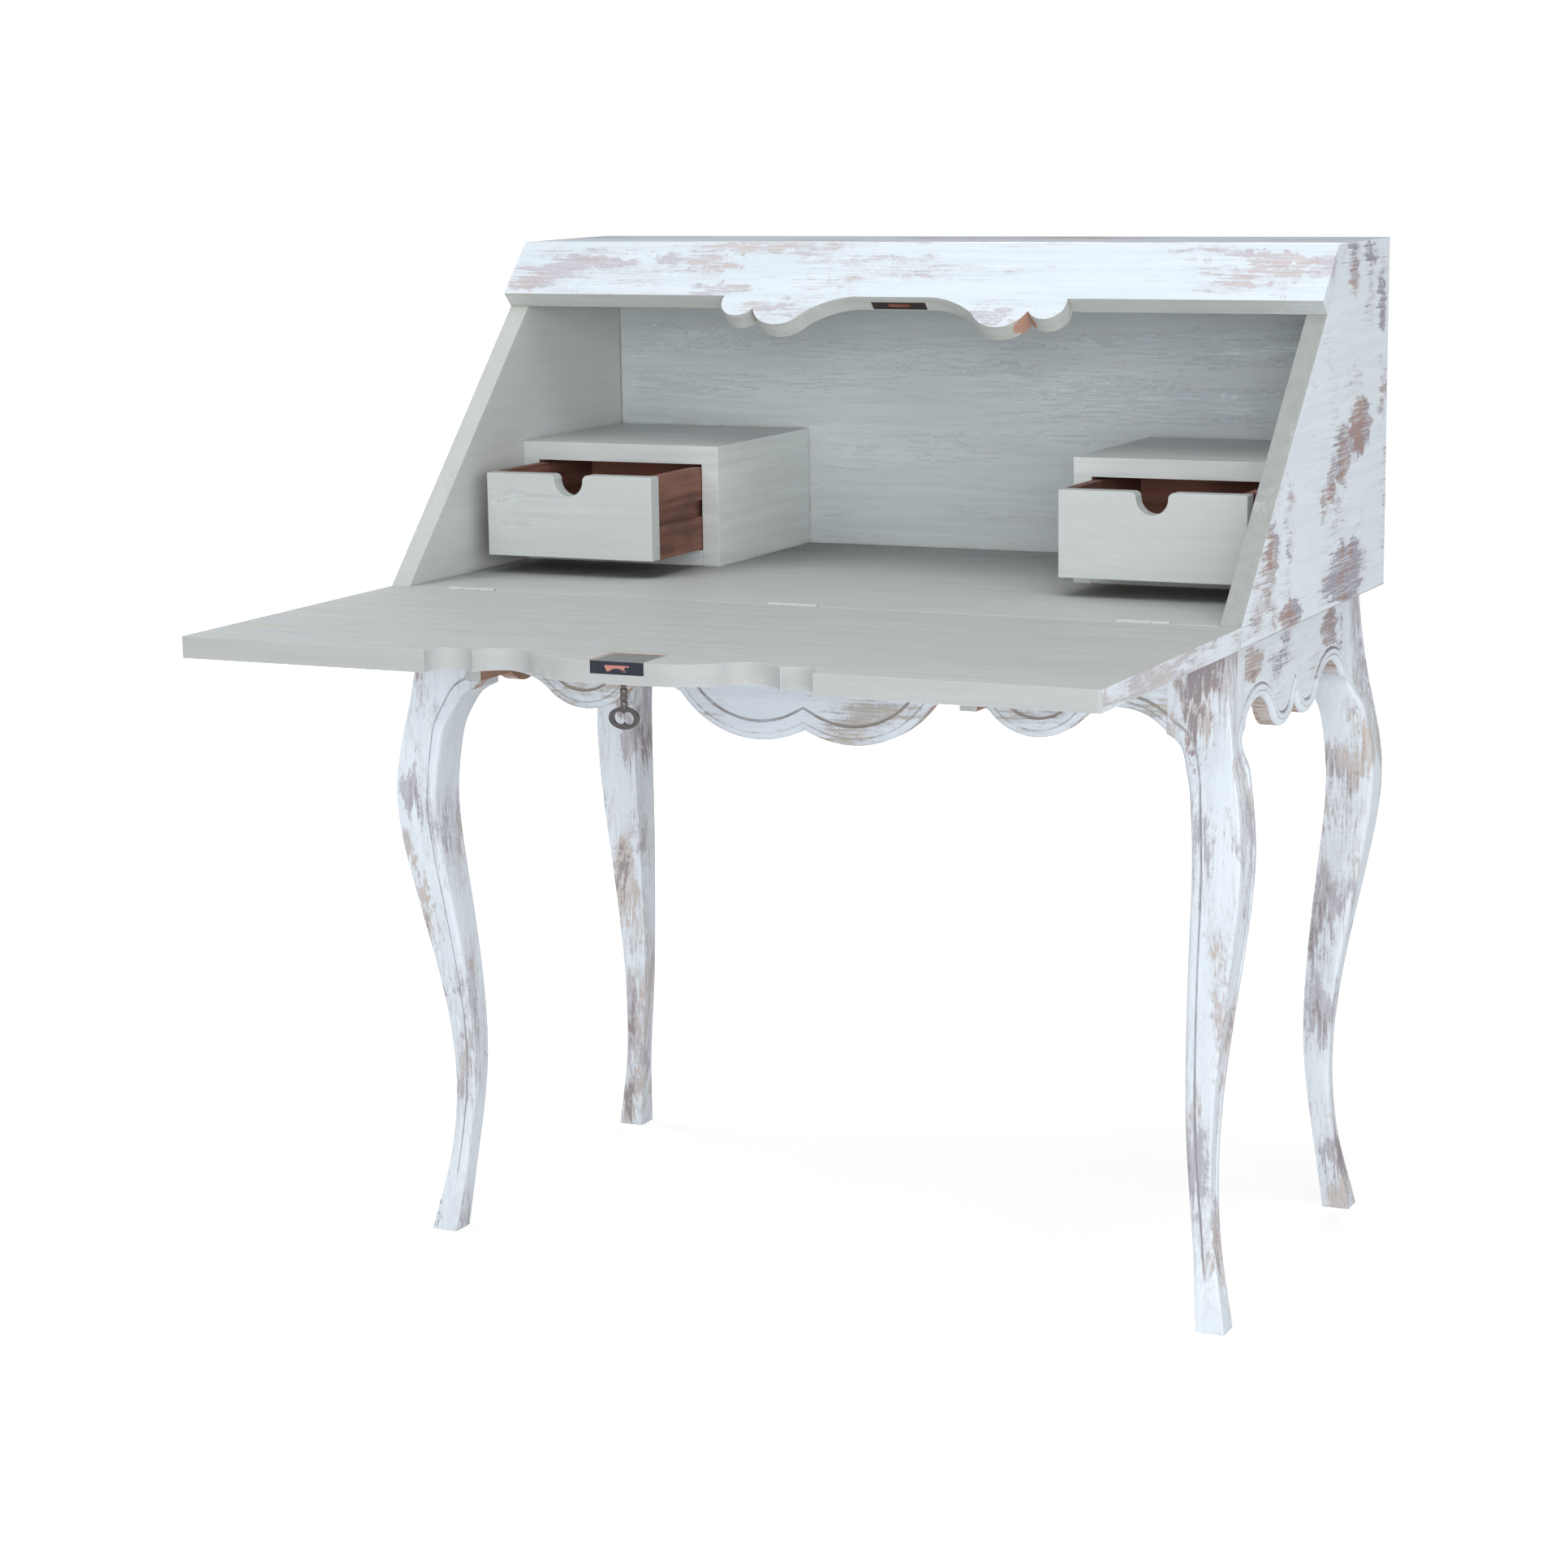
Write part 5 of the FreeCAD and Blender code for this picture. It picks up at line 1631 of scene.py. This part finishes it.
@dataclass
class Case:
    """The slant-front case: sides, top, back, floor, fascia and the lock's strike.

    Attributes:
        side_wear, fascia_wear: the worn places of the sides' outsides and of the fascia's front.
        chip: the bare place beside the strike.
        mortise_half: half the width of the bolt's mortise.
    """

    workshop: Workshop
    side_wear: tuple[Spot, ...] = (
        (376, 1052, 42, 15, 0.20), (318, 1026, 22, 26, 0.17), (422, 1010, 18, 60, 0.18),
        (236, 1025, 14, 20, 0.17), (381, 985, 26, 45, 0.08), (217, 945, 20, 45, 0.09),
        (347, 874, 52, 36, 0.34), (283, 850, 30, 42, 0.20), (240, 828, 22, 34, 0.22),
        (214, 804, 14, 26, 0.18), (430, 905, 14, 60, 0.15), (446, 790, 16, 90, 0.17),
        (97, 794, 26, 50, 0.17), (38, 774, 22, 40, 0.15), (305, 724, 105, 42, 0.22),
        (136, 730, 30, 34, 0.10), (100, 704, 44, 22, 0.21), (20, 715, 45, 34, 0.09))
    fascia_wear: tuple[Spot, ...] = (
        (-376, 1044, 60, 9, 0.17), (-430, 1035, 34, 9, 0.15), (-436, 1023, 30, 9, 0.17),
        (-257, 1050, 60, 9, 0.16), (-210, 1042, 50, 9, 0.15), (-197, 1060, 40, 9, 0.12),
        (-211, 1016, 50, 9, 0.15), (-136, 1002, 40, 9, 0.14), (-20, 1030, 60, 9, -0.04),
        (414, 1050, 60, 9, 0.19), (393, 1021, 70, 9, 0.18), (330, 1056, 60, 9, 0.13),
        (112, 993, 34, 9, 0.13))
    chip: Patch = Patch((154.5 * MM, 185 * MM, 984 * MM), (12 * MM, 80 * MM, 26 * MM), 1.2)
    mortise_half: float = 13.5 * MM

    def build(self) -> None:
        """Make the case's pieces."""
        self.sides_and_top()
        self.fascia()
        self.back_and_floor()
        self.joint_lines()

    def sides_and_top(self) -> None:
        """The two sides and the board over them, whose ends have the sides' own paint."""
        side_grey = GreyPaint("case_side_grey", paint=(0.56, 0.585, 0.57),
                              shade=(0.535, 0.56, 0.545), wear=0.30, grain=Grain.DEEP, drag=0.12,
                              relief=0.12 * MM, cloud=(20.0, 9.0, 12.0))
        slope = GreyPaint("side_edge_grey", paint=(0.37, 0.395, 0.385), shade=(0.33, 0.35, 0.345),
                          worn=(0.42, 0.45, 0.45), cool=(0.40, 0.43, 0.44), wear=0.3,
                          grain=Grain.UPRIGHT, cloud=(20.0, 12.0, 8.0))
        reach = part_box("side_right")[1].x
        ends = []
        for side, way in (("left", -1.0), ("right", 1.0)):
            worn = placed_patches(0, way * reach, 1.0, self.side_wear)
            ends.append(Paint(f"side_{side}_paint", wear=0.35, grain=Grain.DEEP, drag=0.05,
                              cloud=(12.0, 13.0, 10.0), seed=(way, 0.0, 4.0), edge=0.08,
                              patches=worn))

            def side_face(normal: Vector, middle: Vector, way: float = way) -> int:
                """White outside and behind, the slope's grey in front, the inside's elsewhere."""
                white = max(normal.x * way, normal.y) > HALF_TURNED
                return 0 if white else 2 if normal.y < -HALF_TURNED else 1

            self.workshop.board(f"side_{side}", Slot.WHITE,
                                (ends[-1], side_grey, slope if way > 0 else side_grey),
                                side_face, 0.7 * MM)

        def top_face(normal: Vector, middle: Vector) -> int:
            """Grey below, the sides' own paint on its two ends, white elsewhere."""
            end = 3 if normal.x > 0 else 2
            return end if abs(normal.x) > HALF_TURNED else int(normal.z < -HALF_TURNED)

        white = Paint("case_white", paint=(0.68, 0.735, 0.785), shade=(0.62, 0.67, 0.72),
                      wear=0.40, cloud=(5.0, 12.0, 22.0), seed=(0.0, 7.0, 0.0), gloss=0.0)
        self.workshop.board("top_board", Slot.WHITE, (white, GreyPaint("case_grey"), *ends),
                            top_face, 0.5 * MM)

    def fascia(self) -> None:
        """The fixed slanting board over the lid."""
        paint = Paint("fascia_paint", paint=(0.75, 0.83, 0.89), shade=(0.70, 0.78, 0.85),
                      worn=(0.62, 0.56, 0.57), cool=(0.57, 0.55, 0.61), bare=(0.54, 0.47, 0.47),
                      wear=0.375, cloud=(6.0, 30.0, 34.0), seed=(1.0, 3.0, 5.0),
                      patches=placed_patches(1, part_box("fascia")[0].y, 0.5, self.fascia_wear))
        edge = GreyPaint("fascia_edge_grey", bare=(0.50, 0.26, 0.18), drag=0.008,
                         patches=(self.chip,))
        wood = Timber("mortise_wood", light=(0.44, 0.20, 0.15), dark=(0.24, 0.10, 0.075))
        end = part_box("fascia")[1].x - 5 * MM
        low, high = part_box("strike_plate")
        centre, mouth, roof = (low.x + high.x) / 2, low.y + 4 * MM, high.z + 3 * MM

        def face(normal: Vector, middle: Vector) -> int:
            """White on the front, grey below and on the shaped edge, wood in the mortise."""
            deep = abs(middle.x - centre) < self.mortise_half and middle.y > mouth
            return 2 if deep and middle.z < roof else int(normal.z < 0.3 and abs(middle.x) < end)

        self.workshop.board("fascia", Slot.WHITE, (paint, edge, wood), face, 0.5 * MM)

    def back_and_floor(self) -> None:
        """The back panel, the desk floor and the strike plate."""
        inside = GreyPaint("back_grey", paint=(0.58, 0.625, 0.65), shade=(0.515, 0.555, 0.575),
                           wear=0.42)
        outside = Paint("back_white", wear=0.36, grain=Grain.UPRIGHT, cloud=(9.0, 12.0, 7.0),
                        seed=(4.0, 7.0, 3.0))
        self.workshop.board("back_panel", Slot.WHITE, (inside, outside), facing(BACK))
        # The desk floor darkens where the back, the boxes and the sides are within 0.34 m: a
        # painted shadow of the case.
        soiled_and_shaded = GreyPaint("desk_floor_grey", paint=(0.60, 0.625, 0.61),
                           shade=(0.54, 0.565, 0.545), grime_and_shade=(0.22, 0.235, 0.23),
                           grime_and_shade_reach=0.34, grime_and_shade_break=0.15)
        under = Timber("case_under_wood", light=(0.30, 0.18, 0.13), dark=(0.18, 0.10, 0.07))
        self.workshop.board("desk_floor", Slot.GREY, (soiled_and_shaded, under), facing(DOWN))
        iron = Metal("strike_iron", clean=(0.03, 0.022, 0.02), tarnish=(0.14, 0.06, 0.04),
                     metallic=0.0)
        self.workshop.board("strike_plate", Slot.IRON, (iron,), arris=0.3 * MM)

    def joint_lines(self) -> None:
        """A pale bead on the desk floor's front arris that paints its highlight, and a dark strip
        under the sides that paints the joint's shadow.
        """
        # Pale: the floor's front arris painted as a highlight.
        light = Metal("joint_highlight_paint", clean=(0.70, 0.74, 0.75), tarnish=(0.50, 0.53, 0.52),
                      spread=0.5, metallic=0.0)
        # Dark: the joint under the sides painted as a shadow.
        joint_shadow = Metal("joint_shadow_paint", clean=(0.32, 0.29, 0.31), tarnish=(0.60, 0.61, 0.65),
                     spread=0.42, metallic=0.0)
        low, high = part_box("desk_floor")
        near, far, under, over = 0.8 * MM, 2.1 * MM, 0.6 * MM, 0.15 * MM
        self.bead("desk_floor", light, (low.x, low.y + near, high.z - under),
                  (high.x, low.y + far, high.z + over), 0)
        proud, thick = 0.1 * MM, 1.1 * MM
        for side in ("left", "right"):
            low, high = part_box(f"side_{side}")
            self.bead(f"side_{side}", joint_shadow, (low.x - proud, low.y, low.z),
                      (high.x + proud, high.y, low.z + thick), 1)

    def bead(self, node: str, finish: Finish, low: Triple, high: Triple, along: int) -> None:
        """A thin straight bead on a board.

        Its cross-section is a rectangle that shrinks and swells along the bead by the sum of a
        constant and two sines: its width on a bead along X, its height on one along Y.

        Args:
            node: the board's CAD node.
            finish: what it is made of.
            low: the lowest corner of the bead's box.
            high: the highest corner.
            along: the axis that it runs along, 0 or 1.
        """
        near, far = np.asarray(low), np.asarray(high)
        step = np.linspace(near[along] + 1 * MM, far[along] - 1 * MM, 400)
        across = 1 - along
        swell = 0.8 + 0.12 * np.sin(step * 61) + 0.08 * np.sin(step * 143 + 2)
        corners = []
        for share, upper in ((0.0, True), (1.0, True), (1.0, False), (0.0, False)):
            point = np.empty((len(step), 3))
            point[:, along] = step
            point[:, across] = near[across] + share * (far[across] - near[across]) * (
                swell if along == 0 else 1.0)
            point[:, 2] = near[2] + upper * (far[2] - near[2]) * (swell if along == 1 else 1.0)
            corners.append(point)
        self.workshop.trim(f"{node}_bead", np.stack(corners, 1), finish, node, Slot.GREY)


# ---------------------------------------------------------------- lid


@dataclass
class FallFront:
    """The lid with its hinges, its lock and the key.

    Attributes:
        rim_width, rim_rise, rim_depth: the wooden line round the lock's plate, its width, how
            far it stands proud and how deep it goes.
        screw_insets: each screw's distance along X and Y from the plate's low side where it is
            positive and from its high side where it is negative.
        slot_way: the direction across the slots.
        screw_radius, screw_dome, slot_depth, slot_half: a screw's radius, the height of its dome,
            the slot's depth, and half its width as a share of the radius.
        smear_below, smear_reach: the rubbed place on the bolt, from its top, and its reach.
        collar_start, collar_length: where the key's rings begin over its end, and their length.
        shank_radius, collar_bulge: the key's shank, and how much the rings are wider.
    """

    workshop: Workshop
    rim_width: float = 1.7 * MM
    rim_rise: float = 0.3 * MM
    rim_depth: float = 0.5 * MM
    screw_radius: float = 2.0 * MM
    screw_dome: float = 0.35 * MM
    slot_depth: float = 0.3 * MM
    slot_half: float = 0.16
    slot_way: tuple[float, float] = (0.8, 0.6)
    screw_insets: tuple[tuple[float, float], ...] = (
        (5.5 * MM, -4.5 * MM), (-4.5 * MM, 4.5 * MM), (-3.5 * MM, -4.5 * MM))
    smear_below: float = 1.6 * MM
    smear_reach: Triple = (17 * MM, 20 * MM, 3.4 * MM)
    collar_start: float = 20.5 * MM
    collar_length: float = 18 * MM
    shank_radius: float = 2.2 * MM
    collar_bulge: float = 1.5 * MM

    def build(self) -> None:
        """Make the lid's pieces."""
        top = GreyPaint("lid_grey", cloud=(3.0, 18.0, 20.0), seed=(2.0, 5.0, 0.0))
        under = Paint("lid_white", wear=0.42, cloud=(6.0, 16.0, 16.0), seed=(4.0, 1.0, 2.0))
        ends = Paint("lid_end_white", worn=(0.62, 0.57, 0.54), cool=(0.55, 0.53, 0.56),
                     bare=(0.46, 0.38, 0.37), wear=0.47, thin=0.6, grain=Grain.DEEP,
                     cloud=(20.0, 9.0, 26.0), seed=(0.0, 3.0, 2.0), drag=0.06)
        # A darker copy of the lid's grey for the front edge: painted shade; its arris is rubbed
        # pale, a painted highlight as well as wear.
        edge = GreyPaint("lid_edge_shaded_grey", paint=(0.465, 0.48, 0.485), shade=(0.44, 0.455, 0.46),
                         cloud=(6.0, 18.0, 20.0), seed=(2.0, 5.0, 0.0), wear=0.26, edge=0.5)
        end, front_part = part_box("lid")[1].x - 5 * MM, -0.3

        def front_arris(normal: Vector, middle: Vector) -> bool:
            """Whether a face belongs to the lid's front edge."""
            return normal.z < HALF_TURNED and middle.y < front_part

        def face(normal: Vector, middle: Vector) -> int:
            """Grey on top, white below and at the two ends, a darker grey along the front that
            paints shade.
            """
            level = 1 if normal.z < -HALF_TURNED else 3 * front_arris(normal, middle)
            return 2 if abs(normal.x) > 0.9 and abs(middle.x) > end else level

        self.workshop.board("lid", Slot.GREY, (top, under, ends, edge), face)
        bright = Metal("hinge_pin_paint", clean=(0.68, 0.72, 0.73), tarnish=(0.30, 0.31, 0.30),
                       spread=0.40, metallic=0.0)
        for side in ("left", "middle", "right"):
            for part in ("case_leaf", "lid_leaf", "pin"):
                self.workshop.board(f"hinge_{side}_{part}", Slot.PAINTED_STEEL,
                                    (bright if part == "pin" else top,), arris=0.25 * MM)
        self.lock()

    def lock(self) -> None:
        """The lock in the lid's front edge, its bolt, its screws and the key."""
        iron_black, copper = (0.022, 0.026, 0.038), (0.52, 0.23, 0.19)
        iron = Metal("lock_iron", clean=iron_black, tarnish=(0.05, 0.05, 0.06), metallic=0.0,
                     gloss=0.2)
        plate = Metal("lock_plate_iron", clean=(0.175, 0.18, 0.18), tarnish=(0.11, 0.11, 0.11),
                      metallic=0.1)
        low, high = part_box("lock_bolt")
        smear = Patch(((low.x + high.x) / 2, low.y, high.z - self.smear_below),
                      self.smear_reach, 0.8)
        rubbed = Paint("bolt_copper", paint=iron_black, shade=iron_black, veil=iron_black,
                       worn=copper, cool=copper, bare=copper, wear=0.1, drag=0.03, edge=0.0,
                       patches=(smear,))
        self.workshop.board("lock_case", Slot.IRON, (iron, plate), facing(UP), 0.25 * MM)
        self.workshop.board("lock_bolt", Slot.IRON, (rubbed,), arris=0.25 * MM)
        aged = Metal("key_iron", clean=(0.075, 0.068, 0.072), tarnish=(0.035, 0.026, 0.024),
                     metallic=0.5)
        self.workshop.board("key", Slot.IRON, (aged,), arris=0.3 * MM)
        self.rim()
        self.screws()
        self.collars()

    def collars(self) -> None:
        """Three turned rings on the key's shank.

        The radius of the turned piece is the shank's plus a bead that follows the root of the
        absolute sine of the height, three beads in all.
        """
        low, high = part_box("key")
        bright = Metal("collar_iron", clean=(0.11, 0.10, 0.095), tarnish=(0.035, 0.027, 0.025))
        middle = (low + high) / 2
        share = np.linspace(0, 1, 49)[:, None]
        radius = self.shank_radius + self.collar_bulge * np.sqrt(
            np.abs(np.sin(3 * math.pi * share)))
        angle = np.linspace(0, 2 * math.pi, 25)[:-1]
        height = low.z + self.collar_start + self.collar_length * share + 0 * angle
        loops = np.stack([middle.x + radius * np.cos(angle), middle.y + radius * np.sin(angle),
                          height], -1)
        self.workshop.trim("key_collars", loops, bright, "key", Slot.IRON, smooth=True)

    def rim(self) -> None:
        """A line of bare wood in the lid round the lock's plate.

        A rectangle is carried along the plate's left, back and right edges, mitred at the corners.
        """
        low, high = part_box("lock_case")
        bare = Timber("rim_wood", light=(0.50, 0.29, 0.22), dark=(0.36, 0.20, 0.15))
        way = np.array([[low.x, low.y + 1 * MM], [low.x, high.y], [high.x, high.y]])
        outward = np.array([[-1.0, 0.0], [-1.0, 1.0], [0.0, 1.0]])
        inner, outer = way + outward * 0.1 * MM, way + outward * self.rim_width
        top, bottom = high.z + self.rim_rise, high.z - self.rim_depth
        loops = np.stack([
            np.concatenate([path, np.full((3, 1), level)], 1)
            for path, level in ((inner, bottom), (outer, bottom), (outer, top), (inner, top))], 1)
        self.workshop.trim("lock_rim", loops, bare, "lid", Slot.WOOD)

    def screws(self) -> None:
        """Three small slotted screws in the lock's plate.

        Each head is a shallow dome over a polar grid, lower along its slot.
        """
        low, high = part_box("lock_case")
        steel = Metal("screw_steel", clean=(0.30, 0.30, 0.30), tarnish=(0.05, 0.045, 0.04))
        away = np.linspace(1.0, 0.08, 8)[:, None]
        angle = np.linspace(0, 2 * math.pi, 33)[:-1]
        x, y = away * np.cos(angle), away * np.sin(angle)
        in_slot = np.abs(x * self.slot_way[0] + y * self.slot_way[1]) < self.slot_half
        rise = self.screw_dome * (1 - away ** 2) - self.slot_depth * in_slot
        for number, (inset_x, inset_y) in enumerate(self.screw_insets, 1):
            centre_x = inset_x + (low.x if inset_x > 0 else high.x)
            centre_y = inset_y + (low.y if inset_y > 0 else high.y)
            loops = np.stack([centre_x + self.screw_radius * x, centre_y + self.screw_radius * y,
                              high.z + rise], -1)
            self.workshop.trim(f"lock_screw_{number}", loops, steel, "lid", Slot.STEEL)


# ---------------------------------------------------------------- drawers


@dataclass
class Drawers:
    """The two open-fronted boxes on the desk floor and the drawers in them.

    Attributes:
        arris: how little the boxes' thin boards are rounded.
    """

    workshop: Workshop
    arris: float = 0.2 * MM

    def build(self) -> None:
        """Make the boxes and the drawers."""
        grey = GreyPaint("box_grey", paint=(0.60, 0.63, 0.635), shade=(0.54, 0.57, 0.57),
                         cloud=(5.0, 18.0, 24.0), seed=(0.0, 2.0, 6.0), wear=0.30)
        # A paler copy of the boxes' grey for their outer sides and the tops' ends: painted light
        # from the lamps on the right.
        side_grey = GreyPaint("box_side_lit_grey", paint=(0.72, 0.76, 0.755),
                              shade=(0.66, 0.69, 0.685), veil=(0.74, 0.78, 0.78),
                              worn=(0.76, 0.81, 0.82), cool=(0.72, 0.77, 0.80), grain=Grain.DEEP,
                              cloud=(18.0, 5.0, 24.0), seed=(0.0, 2.0, 6.0), wear=0.28, edge=0.12)
        tones = {"light": (0.24, 0.115, 0.085), "dark": (0.12, 0.055, 0.042)}
        wood = Timber("drawer_wood", **tones)
        deep_wood = Timber("drawer_side_wood", grain=Grain.DEEP, **tones)
        inside = Timber("drawer_back_wood", light=(0.42, 0.20, 0.145), dark=(0.24, 0.11, 0.08))
        front = GreyPaint("drawer_grey", paint=(0.525, 0.555, 0.555), shade=(0.50, 0.53, 0.525),
                          worn=(0.57, 0.605, 0.61), cool=(0.555, 0.59, 0.61),
                          cloud=(6.0, 18.0, 24.0), seed=(7.0, 2.0, 1.0), wear=0.30)
        board = self.workshop.board

        def top_face(normal: Vector, middle: Vector) -> int:
            """Wood below, the sides' paler grey on its ends, painted light, grey elsewhere."""
            return 2 if normal.z < -HALF_TURNED else int(abs(normal.x) > HALF_TURNED)

        for side in ("left", "right"):
            low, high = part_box(f"box_{side}_top")

            def side_face(normal: Vector, middle: Vector, x: float = (low.x + high.x) / 2) -> int:
                """Grey forwards, the paler grey that paints light where a side faces out of the
                box, wood inside it.
                """
                outside = (middle.x - x) * normal.x > 0 and abs(normal.x) > HALF_TURNED
                return 0 if normal.y < -HALF_TURNED else 1 if outside else 2

            board(f"box_{side}_top", Slot.GREY, (grey, side_grey, wood), top_face, self.arris)
            board(f"box_{side}_bottom", Slot.GREY, (grey, wood), facing(BACK, -HALF_TURNED))
            for place in ("inner_side", "outer_side"):
                board(f"box_{side}_{place}", Slot.GREY, (grey, side_grey, deep_wood), side_face,
                      self.arris)
            for place in ("inner", "outer"):
                board(f"runner_{side}_{place}", Slot.WOOD, (deep_wood,), arris=0.4 * MM)
            board(f"drawer_{side}_front", Slot.GREY, (front, wood), facing(BACK))
            for place, finish in (("inner_side", deep_wood), ("outer_side", deep_wood),
                                  ("back", inside), ("bottom", inside)):
                board(f"drawer_{side}_{place}", Slot.WOOD, (finish,), arris=0.5 * MM)


# ---------------------------------------------------------------- all of it


def main() -> None:
    """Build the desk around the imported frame, with the floor, the light and the camera."""
    logging.basicConfig(level=logging.INFO, format="%(name)s: %(message)s")
    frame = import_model()
    bodies = {node: body for body, nodes in frame["record"]["behaviour"]["bodies"].items()
              for node in nodes}
    Camera().build()
    Studio().build()
    workshop = Workshop(bodies)
    for assembly in (TableBase(workshop), Case(workshop), FallFront(workshop), Drawers(workshop)):
        assembly.build()
    for piece in workshop.made:
        LOG.info("built %s", piece)


if __name__ == "__main__":
    main()
